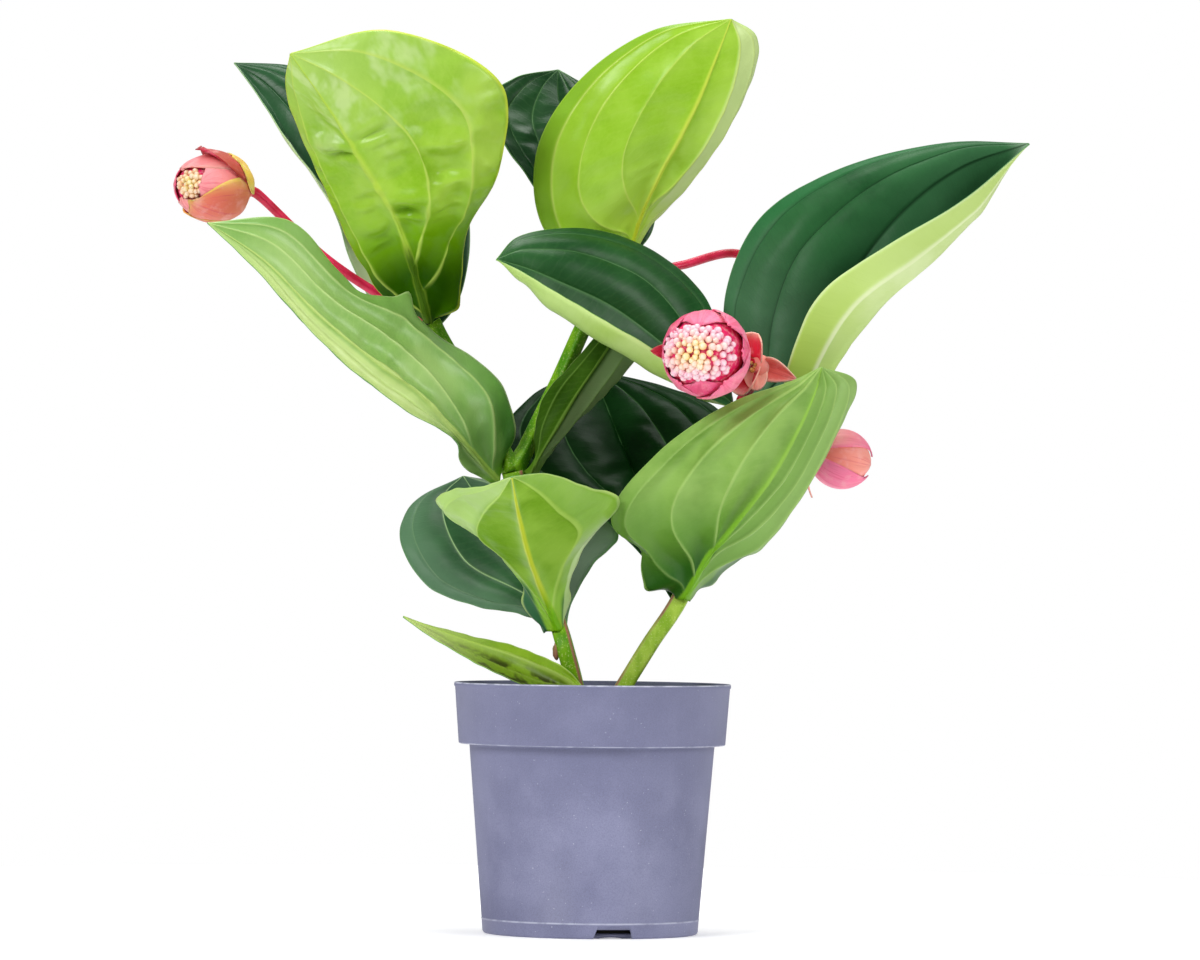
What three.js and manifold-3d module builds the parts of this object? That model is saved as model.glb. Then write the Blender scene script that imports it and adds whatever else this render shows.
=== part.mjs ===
// A potted medinilla: two square stems in a round nursery pot, thirteen ribbed leaves in pairs,
// and three nodding flower heads of pink bracts, two of them filled with round buds.
// Millimetres, +Z up. The origin is the middle of the pot's base, and the plant faces -Y.

import * as THREE from "three";
import { mergeVertices } from "three/addons/utils/BufferGeometryUtils.js";
import Module from "manifold-3d";

const wasm = await Module();
wasm.setup();

// Pot
const POT_HEIGHT = 155;
const POT_RIM_RADIUS = 85.4;
const POT_BAND_RADIUS = 82.6;
const POT_BODY_RADIUS = 76;
const POT_BASE_RADIUS = 66.6;
const POT_BAND_BOTTOM = 117;
const POT_WALL = 2;
const POT_FLOOR = 3;
const POT_FOOT_ROUND = 1.8;
const POT_RIM_ROUND = 1;
const POT_STEP_ROUND = 0.6;
const POT_SIDES = 36;
const NOTCH_COUNT = 3;
const NOTCH_ANGLE = -77.4; // degrees from +X, just right of the front
const NOTCH_FOOT_WIDTH = 25;
const NOTCH_TOP_WIDTH = 20;
const NOTCH_HEIGHT = 5.8;
const NOTCH_DEPTH = 9;

// Soil
const SOIL_TOP = 139;
const SOIL_MOUND = 3;
const SOIL_SETBACK = 6; // the soil's foot stands back from the notches
const SOIL_FOOT_HEIGHT = 9;
const SOIL_CLEARANCE = 1; // from the stepped part of the wall

// Stems and stalks
const TRUNK_RADIUS = 5.9;
const BRANCH_RADIUS = 4.9;
const STALK_RADIUS = 2.8;
const STALK_SIDES = 7;
const STEM_SIDES = 8;
const STEM_STEP = 15; // length of one straight piece of a stem
const RIDGE_SHARE = 0.1; // how far the four ridges stand out, as a share of the radius
const NODE_SWELLING = 1.2;
const GAP = 0.35; // clearance between neighbouring pieces

// Leaves
const BLADE = 1.1;
const RIDGE_AT_BASE = 2.4;
const RIDGE_AT_TIP = 0.4;
const LEAF_ROWS = 9;
const TIP_PARAMETER = 0.994;
const VEIN_START = 0.5; // the side veins leave the rib at this share of their full spread
const VEIN_SPREAD_BY = 0.3; // and reach that spread by this share of the leaf's length
const WAVE_COUNT = 3.5;
const WAVE_HEIGHT = 1.4;

// Flower heads
const BRACT = 1.1;
const BRACT_GRID = 4; // steps along and across a bract
const SPUR_STEPS = 3;
const BRACT_ROOT = 14; // degrees from the back pole at which a bract starts
const BRACT_SIDE_SETBACK = 0.16; // how much lower a bract's sides end than its tip
const RECEPTACLE_LENGTH = 6; // from the bracts' roots back to the stalk
const RECEPTACLE_SHARE = 0.42; // its radius as a share of the head's
const RECEPTACLE_SINK = 3.5; // how far it reaches in under the bracts
const COLLAR_WIDTH = 0.6; // how much wider its back end is than the stalk

const LEAF_UNDERSIDE = 0x9cc44f;
const LEAF_UPPER = 0x1f5a2a;
const STEM_GREEN = 0x6d9a2e;
const STALK_RED = 0xc4213c;
const BRACT_PINK = 0xf2789a;
const BRACT_CORAL = 0xe8756a;
const BUD_CREAM = 0xf8d9cd;
const POT_LAVENDER = 0x8586a5;
const SOIL_BROWN = 0x3a2a20;

// Guide points for every leaf, base to tip: the rib, then the margin on the left and the right hand
// of someone who looks at the upper face with the tip pointing up. The belly values say how far each
// half swells out of its flat chord, towards the upper face where positive.
const LEAVES = {
  leaf_rim_low: {
    light: true,
    rib: [[-6, -11, 147], [-19, -20, 157], [-36, -27, 165], [-54, -32, 172], [-76, -38, 179],
      [-97, -42, 187], [-117, -44, 195]],
    left: [[-4, -12, 150], [-14, -17, 162], [-30, -15, 171], [-51, -14, 178], [-76, -22, 184],
      [-97, -34, 189], [-117, -44, 195]],
    right: [[-7, -12, 142], [-20, -28, 145], [-35, -46, 151], [-54, -55, 159], [-74, -60, 169],
      [-96, -55, 181], [-117, -44, 195]],
    leftBelly: [0, 2, 3, 3, 2, 1, 0],
    rightBelly: [0, 1, 2, 2, 1, 0, 0],
  },
  leaf_left_low_front: {
    light: true,
    rib: [[-22, -7, 188], [-28, -14, 203], [-35, -26, 220], [-41, -42, 237], [-45, -62, 254],
      [-48, -88, 268], [-50, -116, 281]],
    left: [[-17, -5, 190], [-16, -8, 214], [-6, -14, 238], [15, -36, 269], [-3, -62, 275],
      [-27, -92, 283], [-50, -116, 281]],
    right: [[-34, -6, 186], [-44, -9, 216], [-63, -18, 241], [-97, -44, 266], [-86, -66, 273],
      [-65, -92, 276], [-50, -116, 281]],
    leftBelly: [0, -2, -4, -6, -4, -2, 0],
    rightBelly: [0, -2, -4, -6, -4, -2, 0],
  },
  leaf_left_low_back: {
    light: false,
    rib: [[-24, 6, 192], [-35, 16, 206], [-46, 28, 224], [-57, 42, 240], [-66, 60, 256], [-76, 82, 272],
      [-84, 104, 284]],
    left: [[-31, 4, 185], [-46, 12, 197], [-72, 24, 201], [-104, 40, 214], [-122, 58, 242],
      [-116, 80, 265], [-84, 104, 284]],
    right: [[-17, 4, 185], [-14, 12, 203], [-1, 24, 227], [15, 38, 246], [3, 62, 263], [-38, 86, 276],
      [-84, 104, 284]],
    leftBelly: [0, 2, 5, 6, 5, 2, 0],
    rightBelly: [0, 1, 3, 4, 3, 1, 0],
  },
  leaf_left_mid_left: {
    light: true,
    rib: [[-61, -8, 280], [-71, -20, 292], [-86, -36, 309], [-107, -52, 331], [-135, -64, 351],
      [-168, -76, 377], [-203, -86, 411], [-237, -92, 433]],
    left: [[-58, -5, 285], [-50, -2, 315], [-64, 2, 346], [-103, -12, 373], [-124, -30, 391],
      [-156, -50, 405], [-188, -72, 436], [-237, -92, 433]],
    right: [[-65, -10, 278], [-82, -24, 289], [-86, -38, 304], [-119, -62, 323], [-148, -78, 345],
      [-186, -90, 382], [-216, -94, 414], [-237, -92, 433]],
    leftBelly: [0, -2, -5, -5, -4, -3, -2, 0],
    rightBelly: [0, 1, 2, 3, 3, 2, 1, 0],
  },
  leaf_left_mid_right: {
    light: true,
    rib: [[-41, -4, 283], [-34, -10, 296], [-24, -10, 313], [-13, -6, 332], [1, 0, 353], [15, 6, 375],
      [28, 12, 396]],
    left: [[-36, 2, 282], [-30, 8, 294], [-18, 12, 311], [-2, 14, 327], [16, 16, 345], [31, 14, 371],
      [28, 12, 396]],
    right: [[-46, -2, 284], [-37, 0, 293], [-38, 2, 311], [-32, 4, 332], [-13, 12, 356], [10, 14, 380],
      [28, 12, 396]],
    leftBelly: [0, -1, -3, -3, -2, -1, 0],
    rightBelly: [0, -1, -2, -2, -1, -1, 0],
  },
  leaf_left_top_front: {
    light: true,
    rib: [[-103, -4, 378], [-111, -16, 401], [-118, -26, 424], [-127, -40, 446], [-143, -52, 472],
      [-163, -60, 503], [-189, -60, 539]],
    left: [[-101, 2, 377], [-87, 8, 391], [-82, -6, 430], [-61, -32, 472], [-60, -56, 522],
      [-128, -68, 553], [-189, -60, 539]],
    right: [[-107, 1, 378], [-127, -1, 388], [-148, -8, 414], [-163, -18, 447], [-179, -32, 480],
      [-192, -50, 520], [-189, -60, 539]],
    leftBelly: [0, -4, -9, -13, -12, -6, 0],
    rightBelly: [0, -2, -4, -6, -5, -2, 0],
  },
  leaf_left_top_back: {
    light: false,
    rib: [[-105, 14, 376], [-118, 22, 402], [-137, 28, 435], [-161, 34, 471], [-187, 46, 504],
      [-210, 60, 529], [-231, 70, 543]],
    left: [[-108, 12, 373], [-133, 22, 382], [-154, 26, 416], [-166, 20, 452], [-190, 26, 485],
      [-213, 50, 519], [-231, 70, 543]],
    right: [[-100, 12, 372], [-86, 16, 392], [-80, 26, 442], [-99, 45, 494], [-135, 62, 529],
      [-192, 70, 541], [-231, 70, 543]],
    leftBelly: [0, -3, -6, -8, -8, -3, 0],
    rightBelly: [0, 2, 5, 8, 7, 3, 0],
  },
  leaf_centre_top_front: {
    light: true,
    rib: [[18, 21, 421], [27, 8, 451], [38, -4, 473], [50, -12, 494], [62, -18, 518], [73, -22, 545],
      [81, -25, 566]],
    left: [[22, 25, 418], [33, 24, 440], [56, 18, 464], [77, 10, 495], [95, 0, 530], [97, -12, 556],
      [81, -25, 566]],
    right: [[14, 24, 418], [-14, 14, 417], [-36, 6, 442], [-38, -2, 485], [-15, -10, 525], [31, -18, 558],
      [81, -25, 566]],
    leftBelly: [0, -2, -5, -7, -6, -4, 0],
    rightBelly: [0, -5, -10, -13, -12, -6, 0],
  },
  leaf_centre_top_back: {
    light: false,
    rib: [[17, 35, 422], [6, 38, 443], [-6, 44, 466], [-17, 50, 489], [-23, 62, 510], [-26, 76, 528],
      [-26, 85, 542]],
    left: [[14, 32, 419], [-14, 36, 419], [-39, 32, 462], [-60, 38, 493], [-73, 58, 518], [-53, 76, 536],
      [-26, 85, 542]],
    right: [[22, 32, 421], [34, 38, 437], [36, 44, 464], [26, 50, 496], [8, 64, 522], [-11, 78, 533],
      [-26, 85, 542]],
    leftBelly: [0, -3, -6, -8, -6, -2, 0],
    rightBelly: [0, 2, 4, 5, 4, 2, 0],
  },
  leaf_right_low_front: {
    light: true,
    rib: [[56, -7, 209], [69, -24, 235], [89, -42, 258], [108, -56, 284], [125, -70, 316],
      [133, -77, 335], [137, -80, 350]],
    left: [[62, -3, 207], [77, 4, 222], [106, 6, 241], [131, -10, 277], [153, -34, 319], [159, -55, 342],
      [137, -80, 350]],
    right: [[48, -4, 209], [34, -14, 219], [10, -26, 256], [37, -48, 296], [83, -68, 328],
      [121, -76, 342], [137, -80, 350]],
    leftBelly: [0, -3, -5, -6, -5, -3, 0],
    rightBelly: [0, -3, -8, -12, -10, -4, 0],
  },
  leaf_right_low_back: {
    light: false,
    rib: [[54, 8, 209], [46, 18, 231], [36, 38, 256], [25, 62, 285], [13, 86, 314], [4, 108, 336],
      [-5, 124, 353]],
    left: [[49, 6, 206], [30, 14, 234], [-3, 28, 263], [-41, 48, 281], [-59, 72, 308], [-40, 100, 336],
      [-5, 124, 353]],
    right: [[60, 8, 206], [71, 14, 226], [94, 28, 261], [97, 50, 302], [73, 78, 330], [41, 102, 343],
      [-5, 124, 353]],
    leftBelly: [0, 2, 5, 7, 6, 3, 0],
    rightBelly: [0, 2, 5, 7, 6, 3, 0],
  },
  leaf_right_mid_left: {
    light: false,
    rib: [[85, 6, 329], [64, -8, 346], [39, -18, 367], [9, -28, 388], [-20, -36, 401], [-43, -42, 410],
      [-62, -46, 415]],
    left: [[84, 0, 326], [67, -34, 334], [40, -50, 357], [8, -60, 376], [-21, -62, 392], [-44, -56, 406],
      [-62, -46, 415]],
    right: [[85, 14, 333], [80, 16, 363], [67, 18, 396], [36, 6, 423], [-5, -10, 436], [-48, -30, 430],
      [-62, -46, 415]],
    leftBelly: [0, -8, -15, -17, -14, -7, 0],
    rightBelly: [0, 2, 5, 7, 6, 3, 0],
  },
  leaf_right_mid_right: {
    light: false,
    rib: [[95, 8, 327], [111, 12, 342], [132, 16, 367], [156, 18, 406], [187, 18, 448], [227, 18, 479],
      [269, 18, 494]],
    left: [[93, 16, 332], [82, 34, 360], [81, 38, 401], [102, 36, 447], [152, 36, 478], [215, 30, 494],
      [269, 18, 494]],
    right: [[95, 2, 323], [112, -20, 331], [119, -26, 355], [136, -28, 395], [177, -22, 426],
      [228, -4, 458], [269, 18, 494]],
    leftBelly: [0, 3, 8, 11, 9, 5, 0],
    rightBelly: [0, -14, -26, -33, -33, -29, 0],
  },
};

// Centre lines of the stems and of the flower stalks.
const LEFT_TRUNK = [[-9, 4, 122], [-8, 1, 132], [-9, -4, 145], [-17, -9, 176], [-22, 0, 192],
  [-33, 2, 222], [-44, -2, 256], [-51, -3, 285]];
const LEFT_BRANCH = [[-51, -3, 285], [-61, 6, 305], [-77, 10, 333], [-91, 9, 358], [-103, 7, 377]];
const CENTRE_BRANCH = [[-51, -3, 285], [-44, 8, 298], [-36, 17, 315], [-22, 24, 345], [-9, 28, 375],
  [4, 29, 402], [18, 28, 421]];
const RIGHT_TRUNK = [[9, 4, 122], [10, 1, 132], [15, -3, 145], [35, -3, 179], [54, 0, 209],
  [69, 8, 251], [80, 12, 295], [90, 10, 329]];
// The lowest node of each stem, where the first two leaves stand.
const LEFT_LOW_NODE = [-22, 0, 190];
const RIGHT_LOW_NODE = [54, 0, 209];
const STALK_STARTS = {
  left: [[-105, 8, 381], [-122, 9, 388], [-139, 6, 397], [-169, -4, 417]],
  right: [[90, 8, 331], [97, -16, 341], [98, -40, 352]],
  far_right: [[20, 29, 417], [33, 38, 413], [53, 50, 417], [88, 58, 425], [118, 62, 408],
    [126, 60, 368], [114, 50, 325]],
};

// The flower heads. Each sits at the end of its stalk, which is straight for the last runIn of its
// length. A bract is given, in degrees and as a share of the head's radius, as [turn about the
// head's axis, half width, how far round from the back its tip reaches, radius]. A spur is a bract
// that stands off the head, given as in the tier.
const HEADS = {
  left: {
    centre: [-244, -43, 458],
    runIn: 3,
    mouth: [-0.74, -0.63, 0.04],
    radius: 16,
    stretch: 1.02,
    bracts: [[20, 84, 146, 1], [200, 86, 144, 1], [110, 60, 122, 1.1], [290, 62, 126, 1.1],
      [40, 46, 112, 1.2], [225, 40, 100, 1.2]],
    spurs: [],
    buds: { count: 8, spread: 0.36, radius: 2.2 },
  },
  right: {
    centre: [66, -92, 357],
    runIn: 12,
    mouth: [-0.2, -0.97, -0.02],
    radius: 26,
    stretch: 0,
    bracts: [[0, 43, 126, 1], [90, 43, 122, 1], [180, 43, 124, 1], [270, 43, 124, 1],
      [45, 42, 118, 1.08], [135, 42, 122, 1.08], [225, 42, 120, 1.08], [315, 42, 118, 1.08]],
    spurs: [],
    buds: { count: 38, spread: 1.02, radius: 3 },
  },
  far_right: {
    centre: [155, 40, 296],
    runIn: 12,
    mouth: [0.95, 0.22, -0.2],
    radius: 17,
    stretch: 0.15,
    bracts: [[0, 57, 168, 1], [120, 57, 166, 1], [240, 57, 167, 1],
      [60, 54, 152, 1.1], [180, 54, 150, 1.1], [300, 54, 148, 1.1]],
    spurs: [[[-0.06, 0, -1], 29, 4, 2]],
  },
};

// The small open bracts round the right stalk: [direction, length, half width, how far it bends].
const TIER_CENTRE = [98, -40, 352];
const TIER_RADIUS = 5.6;
const TIER_BRACTS = [
  [[0.16, -0.3, 1], 20, 8, 4],
  [[0.95, -0.35, -0.33], 27, 7, -3],
  [[-0.28, -0.35, -1], 22, 8, 5],
  [[0.25, -0.2, -1], 18, 6, 6],
];

// A closed three.js geometry as a solid that can be joined and cut.
function solidOf(geometry) {
  const bare = new THREE.BufferGeometry();
  bare.setAttribute("position", geometry.getAttribute("position").clone());
  if (geometry.index) bare.setIndex(geometry.index.clone());
  const merged = mergeVertices(bare, 1e-3);
  return new wasm.Manifold(new wasm.Mesh({
    numProp: 3,
    vertProperties: merged.attributes.position.array,
    triVerts: new Uint32Array(merged.index.array),
  }));
}

function geometryOf(solid) {
  const mesh = solid.getMesh();
  const positions = new Float32Array(mesh.numVert * 3);
  for (let i = 0; i < mesh.numVert; i++) {
    const from = i * mesh.numProp;
    positions.set(mesh.vertProperties.subarray(from, from + 3), i * 3);
  }
  const geometry = new THREE.BufferGeometry();
  geometry.setAttribute("position", new THREE.BufferAttribute(positions, 3));
  geometry.setIndex(new THREE.BufferAttribute(mesh.triVerts, 1));
  const flat = geometry.toNonIndexed();
  flat.computeVertexNormals();
  return flat;
}

function largestBody(solid) {
  return solid.decompose().reduce((a, b) => (b.volume() > a.volume() ? b : a));
}

function joined(solids) {
  return solids.reduce((a, b) => a.add(b));
}

function meshOf(name, solid, color, roughness) {
  const material = new THREE.MeshStandardMaterial({ color, roughness, metalness: 0 });
  const mesh = new THREE.Mesh(geometryOf(solid), material);
  mesh.name = name;
  return mesh;
}

const vector = (p) => new THREE.Vector3(p[0], p[1], p[2]);
const curveThrough = (points) => new THREE.CatmullRomCurve3(points.map(vector));

// A value that follows a short list of numbers smoothly, first to last, as s goes from 0 to 1.
function along(values, s) {
  const place = s * (values.length - 1);
  const i = Math.min(Math.floor(place), values.length - 2);
  return THREE.MathUtils.lerp(values[i], values[i + 1], THREE.MathUtils.smoothstep(place - i, 0, 1));
}

// A closed sheet from a grid of points, rows[j][i], with the same triangles on both faces.
// The upper face is the one that (rows[0][1] - rows[0][0]) x (rows[1][0] - rows[0][0]) points to.
function thickSheet(rows, thickness, extraBelow = () => 0) {
  const high = rows.length;
  const wide = rows[0].length;
  const positions = [];
  const triangles = [];
  const at = (j, i) => rows[THREE.MathUtils.clamp(j, 0, high - 1)][THREE.MathUtils.clamp(i, 0, wide - 1)];
  for (const side of [1, -1]) {
    for (let j = 0; j < high; j++) {
      for (let i = 0; i < wide; i++) {
        const across = at(j, i + 1).clone().sub(at(j, i - 1));
        const forward = at(j + 1, i).clone().sub(at(j - 1, i));
        const normal = across.cross(forward).normalize();
        const offset = side > 0 ? thickness / 2 : -thickness / 2 - extraBelow(j, i);
        const point = at(j, i).clone().addScaledVector(normal, offset);
        positions.push(point.x, point.y, point.z);
      }
    }
  }
  const upper = (j, i) => j * wide + i;
  const lower = (j, i) => high * wide + upper(j, i);
  const quad = (a, b, c, d) => triangles.push(a, b, c, a, c, d);
  for (let j = 0; j < high - 1; j++) {
    for (let i = 0; i < wide - 1; i++) {
      quad(upper(j, i), upper(j, i + 1), upper(j + 1, i + 1), upper(j + 1, i));
      triangles.push(lower(j, i), lower(j + 1, i + 1), lower(j, i + 1));
      triangles.push(lower(j, i), lower(j + 1, i), lower(j + 1, i + 1));
    }
    quad(lower(j, 0), upper(j, 0), upper(j + 1, 0), lower(j + 1, 0));
    quad(upper(j, wide - 1), lower(j, wide - 1), lower(j + 1, wide - 1), upper(j + 1, wide - 1));
  }
  for (let i = 0; i < wide - 1; i++) {
    quad(lower(0, i), lower(0, i + 1), upper(0, i + 1), upper(0, i));
    quad(upper(high - 1, i), upper(high - 1, i + 1), lower(high - 1, i + 1), lower(high - 1, i));
  }
  const geometry = new THREE.BufferGeometry();
  geometry.setAttribute("position", new THREE.Float32BufferAttribute(positions, 3));
  geometry.setIndex(triangles);
  return geometry;
}

// Stations across half a leaf: [share of the way to the margin, height above the smooth blade].
// The rib and the two side veins lie in grooves, and the blade swells between them.
const STATIONS = [[0.08, 0.4], [0.35, -0.7], [0.51, 0.9], [0.68, -0.6], [0.85, 0.6], [1, 0]];
const RIB_GROOVE = -0.5;

function leafSolid(leaf) {
  const rib = curveThrough(leaf.rib);
  const margins = { left: curveThrough(leaf.left), right: curveThrough(leaf.right) };
  const bellies = { left: leaf.leftBelly, right: leaf.rightBelly };
  const rows = [];
  for (let j = 0; j <= LEAF_ROWS; j++) {
    const s = (j / LEAF_ROWS) * TIP_PARAMETER;
    const middle = rib.getPoint(s);
    const forward = rib.getTangent(s);
    const spread = THREE.MathUtils.lerp(VEIN_START, 1, Math.min(1, s / VEIN_SPREAD_BY));
    const fade = Math.sin(Math.PI * Math.min(1, s + 0.02));
    const halves = { left: [], right: [] };
    for (const side of ["left", "right"]) {
      const chord = margins[side].getPoint(s).sub(middle);
      const normal = side === "left" ? forward.clone().cross(chord) : chord.clone().cross(forward);
      normal.normalize();
      for (const [share, height] of STATIONS) {
        const t = share === 1 ? 1 : share * spread;
        const wave = WAVE_HEIGHT * t ** 3 * Math.sin(2 * Math.PI * WAVE_COUNT * s);
        const lift = along(bellies[side], s) * 4 * t * (1 - t) + (height + wave) * fade;
        halves[side].push(middle.clone().addScaledVector(chord, t).addScaledVector(normal, lift));
      }
    }
    const up = halves.right[0].clone().sub(halves.left[0]).cross(forward).normalize();
    middle.addScaledVector(up, RIB_GROOVE * fade);
    rows.push([...halves.left.reverse(), middle, ...halves.right]);
  }
  const centre = STATIONS.length;
  const ridge = (j, i) => {
    const height = THREE.MathUtils.lerp(RIDGE_AT_BASE, RIDGE_AT_TIP, j / LEAF_ROWS);
    return i === centre ? height : 0;
  };
  return solidOf(thickSheet(rows, BLADE, ridge));
}

// A rod along a curve, whose outline reaches out by reachAt(angle) from its middle.
function rodSolid(points, sides, steps, reachAt) {
  const outline = [];
  for (let k = 0; k < sides; k++) {
    const angle = (2 * Math.PI * k) / sides;
    outline.push(new THREE.Vector2(Math.cos(angle), Math.sin(angle)).multiplyScalar(reachAt(angle)));
  }
  const settings = { steps, extrudePath: curveThrough(points), bevelEnabled: false };
  return solidOf(new THREE.ExtrudeGeometry(new THREE.Shape(outline), settings));
}

// A four-ridged stem along a curve, a little thicker where extra is given.
function stemSolid(points, radius, extra) {
  const steps = Math.round(curveThrough(points).getLength() / STEM_STEP);
  const reachAt = (angle) => radius * (1 + RIDGE_SHARE * Math.cos(4 * angle)) + extra;
  return rodSolid(points, STEM_SIDES, steps, reachAt);
}

function swelling(point, radius, extra) {
  const ball = new THREE.SphereGeometry(radius * NODE_SWELLING + extra, 8, 5);
  ball.translate(point[0], point[1], point[2]);
  return solidOf(ball);
}

function leftStemSolid(extra = 0) {
  return joined([
    stemSolid(LEFT_TRUNK, TRUNK_RADIUS, extra),
    stemSolid(LEFT_BRANCH, BRANCH_RADIUS, extra),
    stemSolid(CENTRE_BRANCH, BRANCH_RADIUS, extra),
    swelling(LEFT_LOW_NODE, TRUNK_RADIUS, extra),
    swelling(LEFT_TRUNK.at(-1), TRUNK_RADIUS, extra),
    swelling(LEFT_BRANCH.at(-1), BRANCH_RADIUS, extra),
    swelling(CENTRE_BRANCH.at(-1), BRANCH_RADIUS, extra),
  ]);
}

function rightStemSolid(extra = 0) {
  return joined([
    stemSolid(RIGHT_TRUNK, TRUNK_RADIUS, extra),
    swelling(RIGHT_LOW_NODE, TRUNK_RADIUS, extra),
    swelling(RIGHT_TRUNK.at(-1), TRUNK_RADIUS, extra),
  ]);
}

function stalkSolid(points, extra = 0) {
  return rodSolid(points, STALK_SIDES, 2 * points.length + 3, () => STALK_RADIUS + extra);
}

const profileOf = (pairs) => pairs.map(([radius, z]) => new THREE.Vector2(radius, z));

function potSolid() {
  const wall = profileOf([
    [0, 0],
    [POT_BASE_RADIUS - POT_FOOT_ROUND, 0],
    [POT_BASE_RADIUS, POT_FOOT_ROUND],
    [POT_BODY_RADIUS, POT_BAND_BOTTOM],
    [POT_BAND_RADIUS - POT_STEP_ROUND, POT_BAND_BOTTOM],
    [POT_BAND_RADIUS, POT_BAND_BOTTOM + POT_STEP_ROUND],
    [POT_RIM_RADIUS, POT_HEIGHT - POT_RIM_ROUND],
    [POT_RIM_RADIUS - POT_RIM_ROUND, POT_HEIGHT],
    [POT_RIM_RADIUS - POT_RIM_ROUND - POT_WALL * 0.6, POT_HEIGHT],
    [POT_BAND_RADIUS - POT_WALL, POT_BAND_BOTTOM + POT_WALL],
    [POT_BODY_RADIUS - POT_WALL, POT_BAND_BOTTOM - POT_WALL],
    [POT_BASE_RADIUS - POT_WALL, POT_FLOOR + POT_STEP_ROUND],
    [POT_BASE_RADIUS - POT_WALL - POT_STEP_ROUND, POT_FLOOR],
    [0, POT_FLOOR],
  ]);
  let pot = solidOf(new THREE.LatheGeometry(wall, POT_SIDES).rotateX(Math.PI / 2));
  const opening = new THREE.Shape([
    new THREE.Vector2(-NOTCH_FOOT_WIDTH / 2, -1),
    new THREE.Vector2(NOTCH_FOOT_WIDTH / 2, -1),
    new THREE.Vector2(NOTCH_TOP_WIDTH / 2, NOTCH_HEIGHT),
    new THREE.Vector2(-NOTCH_TOP_WIDTH / 2, NOTCH_HEIGHT),
  ]);
  for (let k = 0; k < NOTCH_COUNT; k++) {
    const cut = new THREE.ExtrudeGeometry(opening, { depth: 2 * NOTCH_DEPTH, bevelEnabled: false });
    cut.rotateX(Math.PI / 2);
    cut.translate(0, -POT_BASE_RADIUS + NOTCH_DEPTH, 0);
    cut.rotateZ(THREE.MathUtils.degToRad(NOTCH_ANGLE + 90 + (360 / NOTCH_COUNT) * k));
    pot = pot.subtract(solidOf(cut));
  }
  return pot;
}

function soilSolid() {
  const foot = POT_BASE_RADIUS - POT_WALL - GAP;
  const slope = (POT_BODY_RADIUS - POT_BASE_RADIUS) / (POT_BAND_BOTTOM - POT_FOOT_ROUND);
  const wallAt = (z) => foot + slope * (z - POT_FOOT_ROUND);
  const shoulder = POT_BAND_BOTTOM - POT_WALL - SOIL_CLEARANCE;
  const shoulderRadius = POT_BAND_RADIUS - POT_WALL - SOIL_CLEARANCE;
  const filling = profileOf([
    [0, POT_FLOOR + GAP],
    [foot - SOIL_SETBACK, POT_FLOOR + GAP],
    [foot - SOIL_SETBACK, SOIL_FOOT_HEIGHT],
    [wallAt(SOIL_FOOT_HEIGHT), SOIL_FOOT_HEIGHT + 2],
    [wallAt(shoulder) - GAP, shoulder],
    [shoulderRadius, POT_BAND_BOTTOM + POT_WALL + SOIL_CLEARANCE],
    [shoulderRadius, SOIL_TOP - 1],
    [shoulderRadius * 0.8, SOIL_TOP],
    [shoulderRadius * 0.45, SOIL_TOP + SOIL_MOUND * 0.7],
    [0, SOIL_TOP + SOIL_MOUND],
  ]);
  const soil = solidOf(new THREE.LatheGeometry(filling, POT_SIDES).rotateX(Math.PI / 2));
  return soil.subtract(leftStemSolid(GAP)).subtract(rightStemSolid(GAP));
}

// The distance of a head's skin from its centre: a ball, drawn out towards the back where stretched.
function headRadius(head, polar) {
  return head.radius * (1 + head.stretch * ((1 + Math.cos(polar)) / 2) ** 3);
}

// A point on a head, polar from the back pole, in the head's own frame with its mouth towards +Z.
function onHead(head, polar, turn, layer) {
  const reach = headRadius(head, polar) * layer;
  const out = reach * Math.sin(polar);
  return new THREE.Vector3(out * Math.cos(turn), out * Math.sin(turn), -reach * Math.cos(polar));
}

function bractSolid(head, [turn, halfWidth, reach, layer]) {
  const rows = [];
  for (let j = 0; j <= BRACT_GRID; j++) {
    const v = j / BRACT_GRID;
    const polar = THREE.MathUtils.lerp(BRACT_ROOT, reach, v);
    const narrowing = Math.sqrt(1 - (0.985 * v) ** 4); // blunt, and just short of a point
    const row = [];
    for (let i = 0; i <= BRACT_GRID; i++) {
      const u = (2 * i) / BRACT_GRID - 1;
      const angle = THREE.MathUtils.degToRad(turn + halfWidth * narrowing * u);
      const drop = BRACT_SIDE_SETBACK * u * u * v;
      row.push(onHead(head, THREE.MathUtils.degToRad(polar) - drop, angle, layer - 0.01 * u * u));
    }
    rows.push(row);
  }
  return solidOf(thickSheet(rows, BRACT));
}

// One standing bract from a root near the origin, cupped across and bent along its length.
function spurSheet([direction, length, halfWidth, bend]) {
  const out = vector(direction).normalize();
  const side = out.clone().cross(new THREE.Vector3(0, -1, 0)).normalize();
  const face = side.clone().cross(out);
  const cup = 0.45;
  const leastWidth = 0.4;
  const rows = [];
  for (let j = 0; j <= SPUR_STEPS; j++) {
    const v = THREE.MathUtils.lerp(0.2, 0.99, j / SPUR_STEPS);
    const width = halfWidth * Math.sin(Math.PI * v ** 0.7) + leastWidth;
    const row = [];
    for (const u of [-1, 0, 1]) {
      const point = out.clone().multiplyScalar(length * v);
      point.addScaledVector(side, u * width);
      point.addScaledVector(face, bend * v * v + cup * width * u * u);
      row.push(point);
    }
    rows.push(row);
  }
  return thickSheet(rows, BRACT);
}

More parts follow.
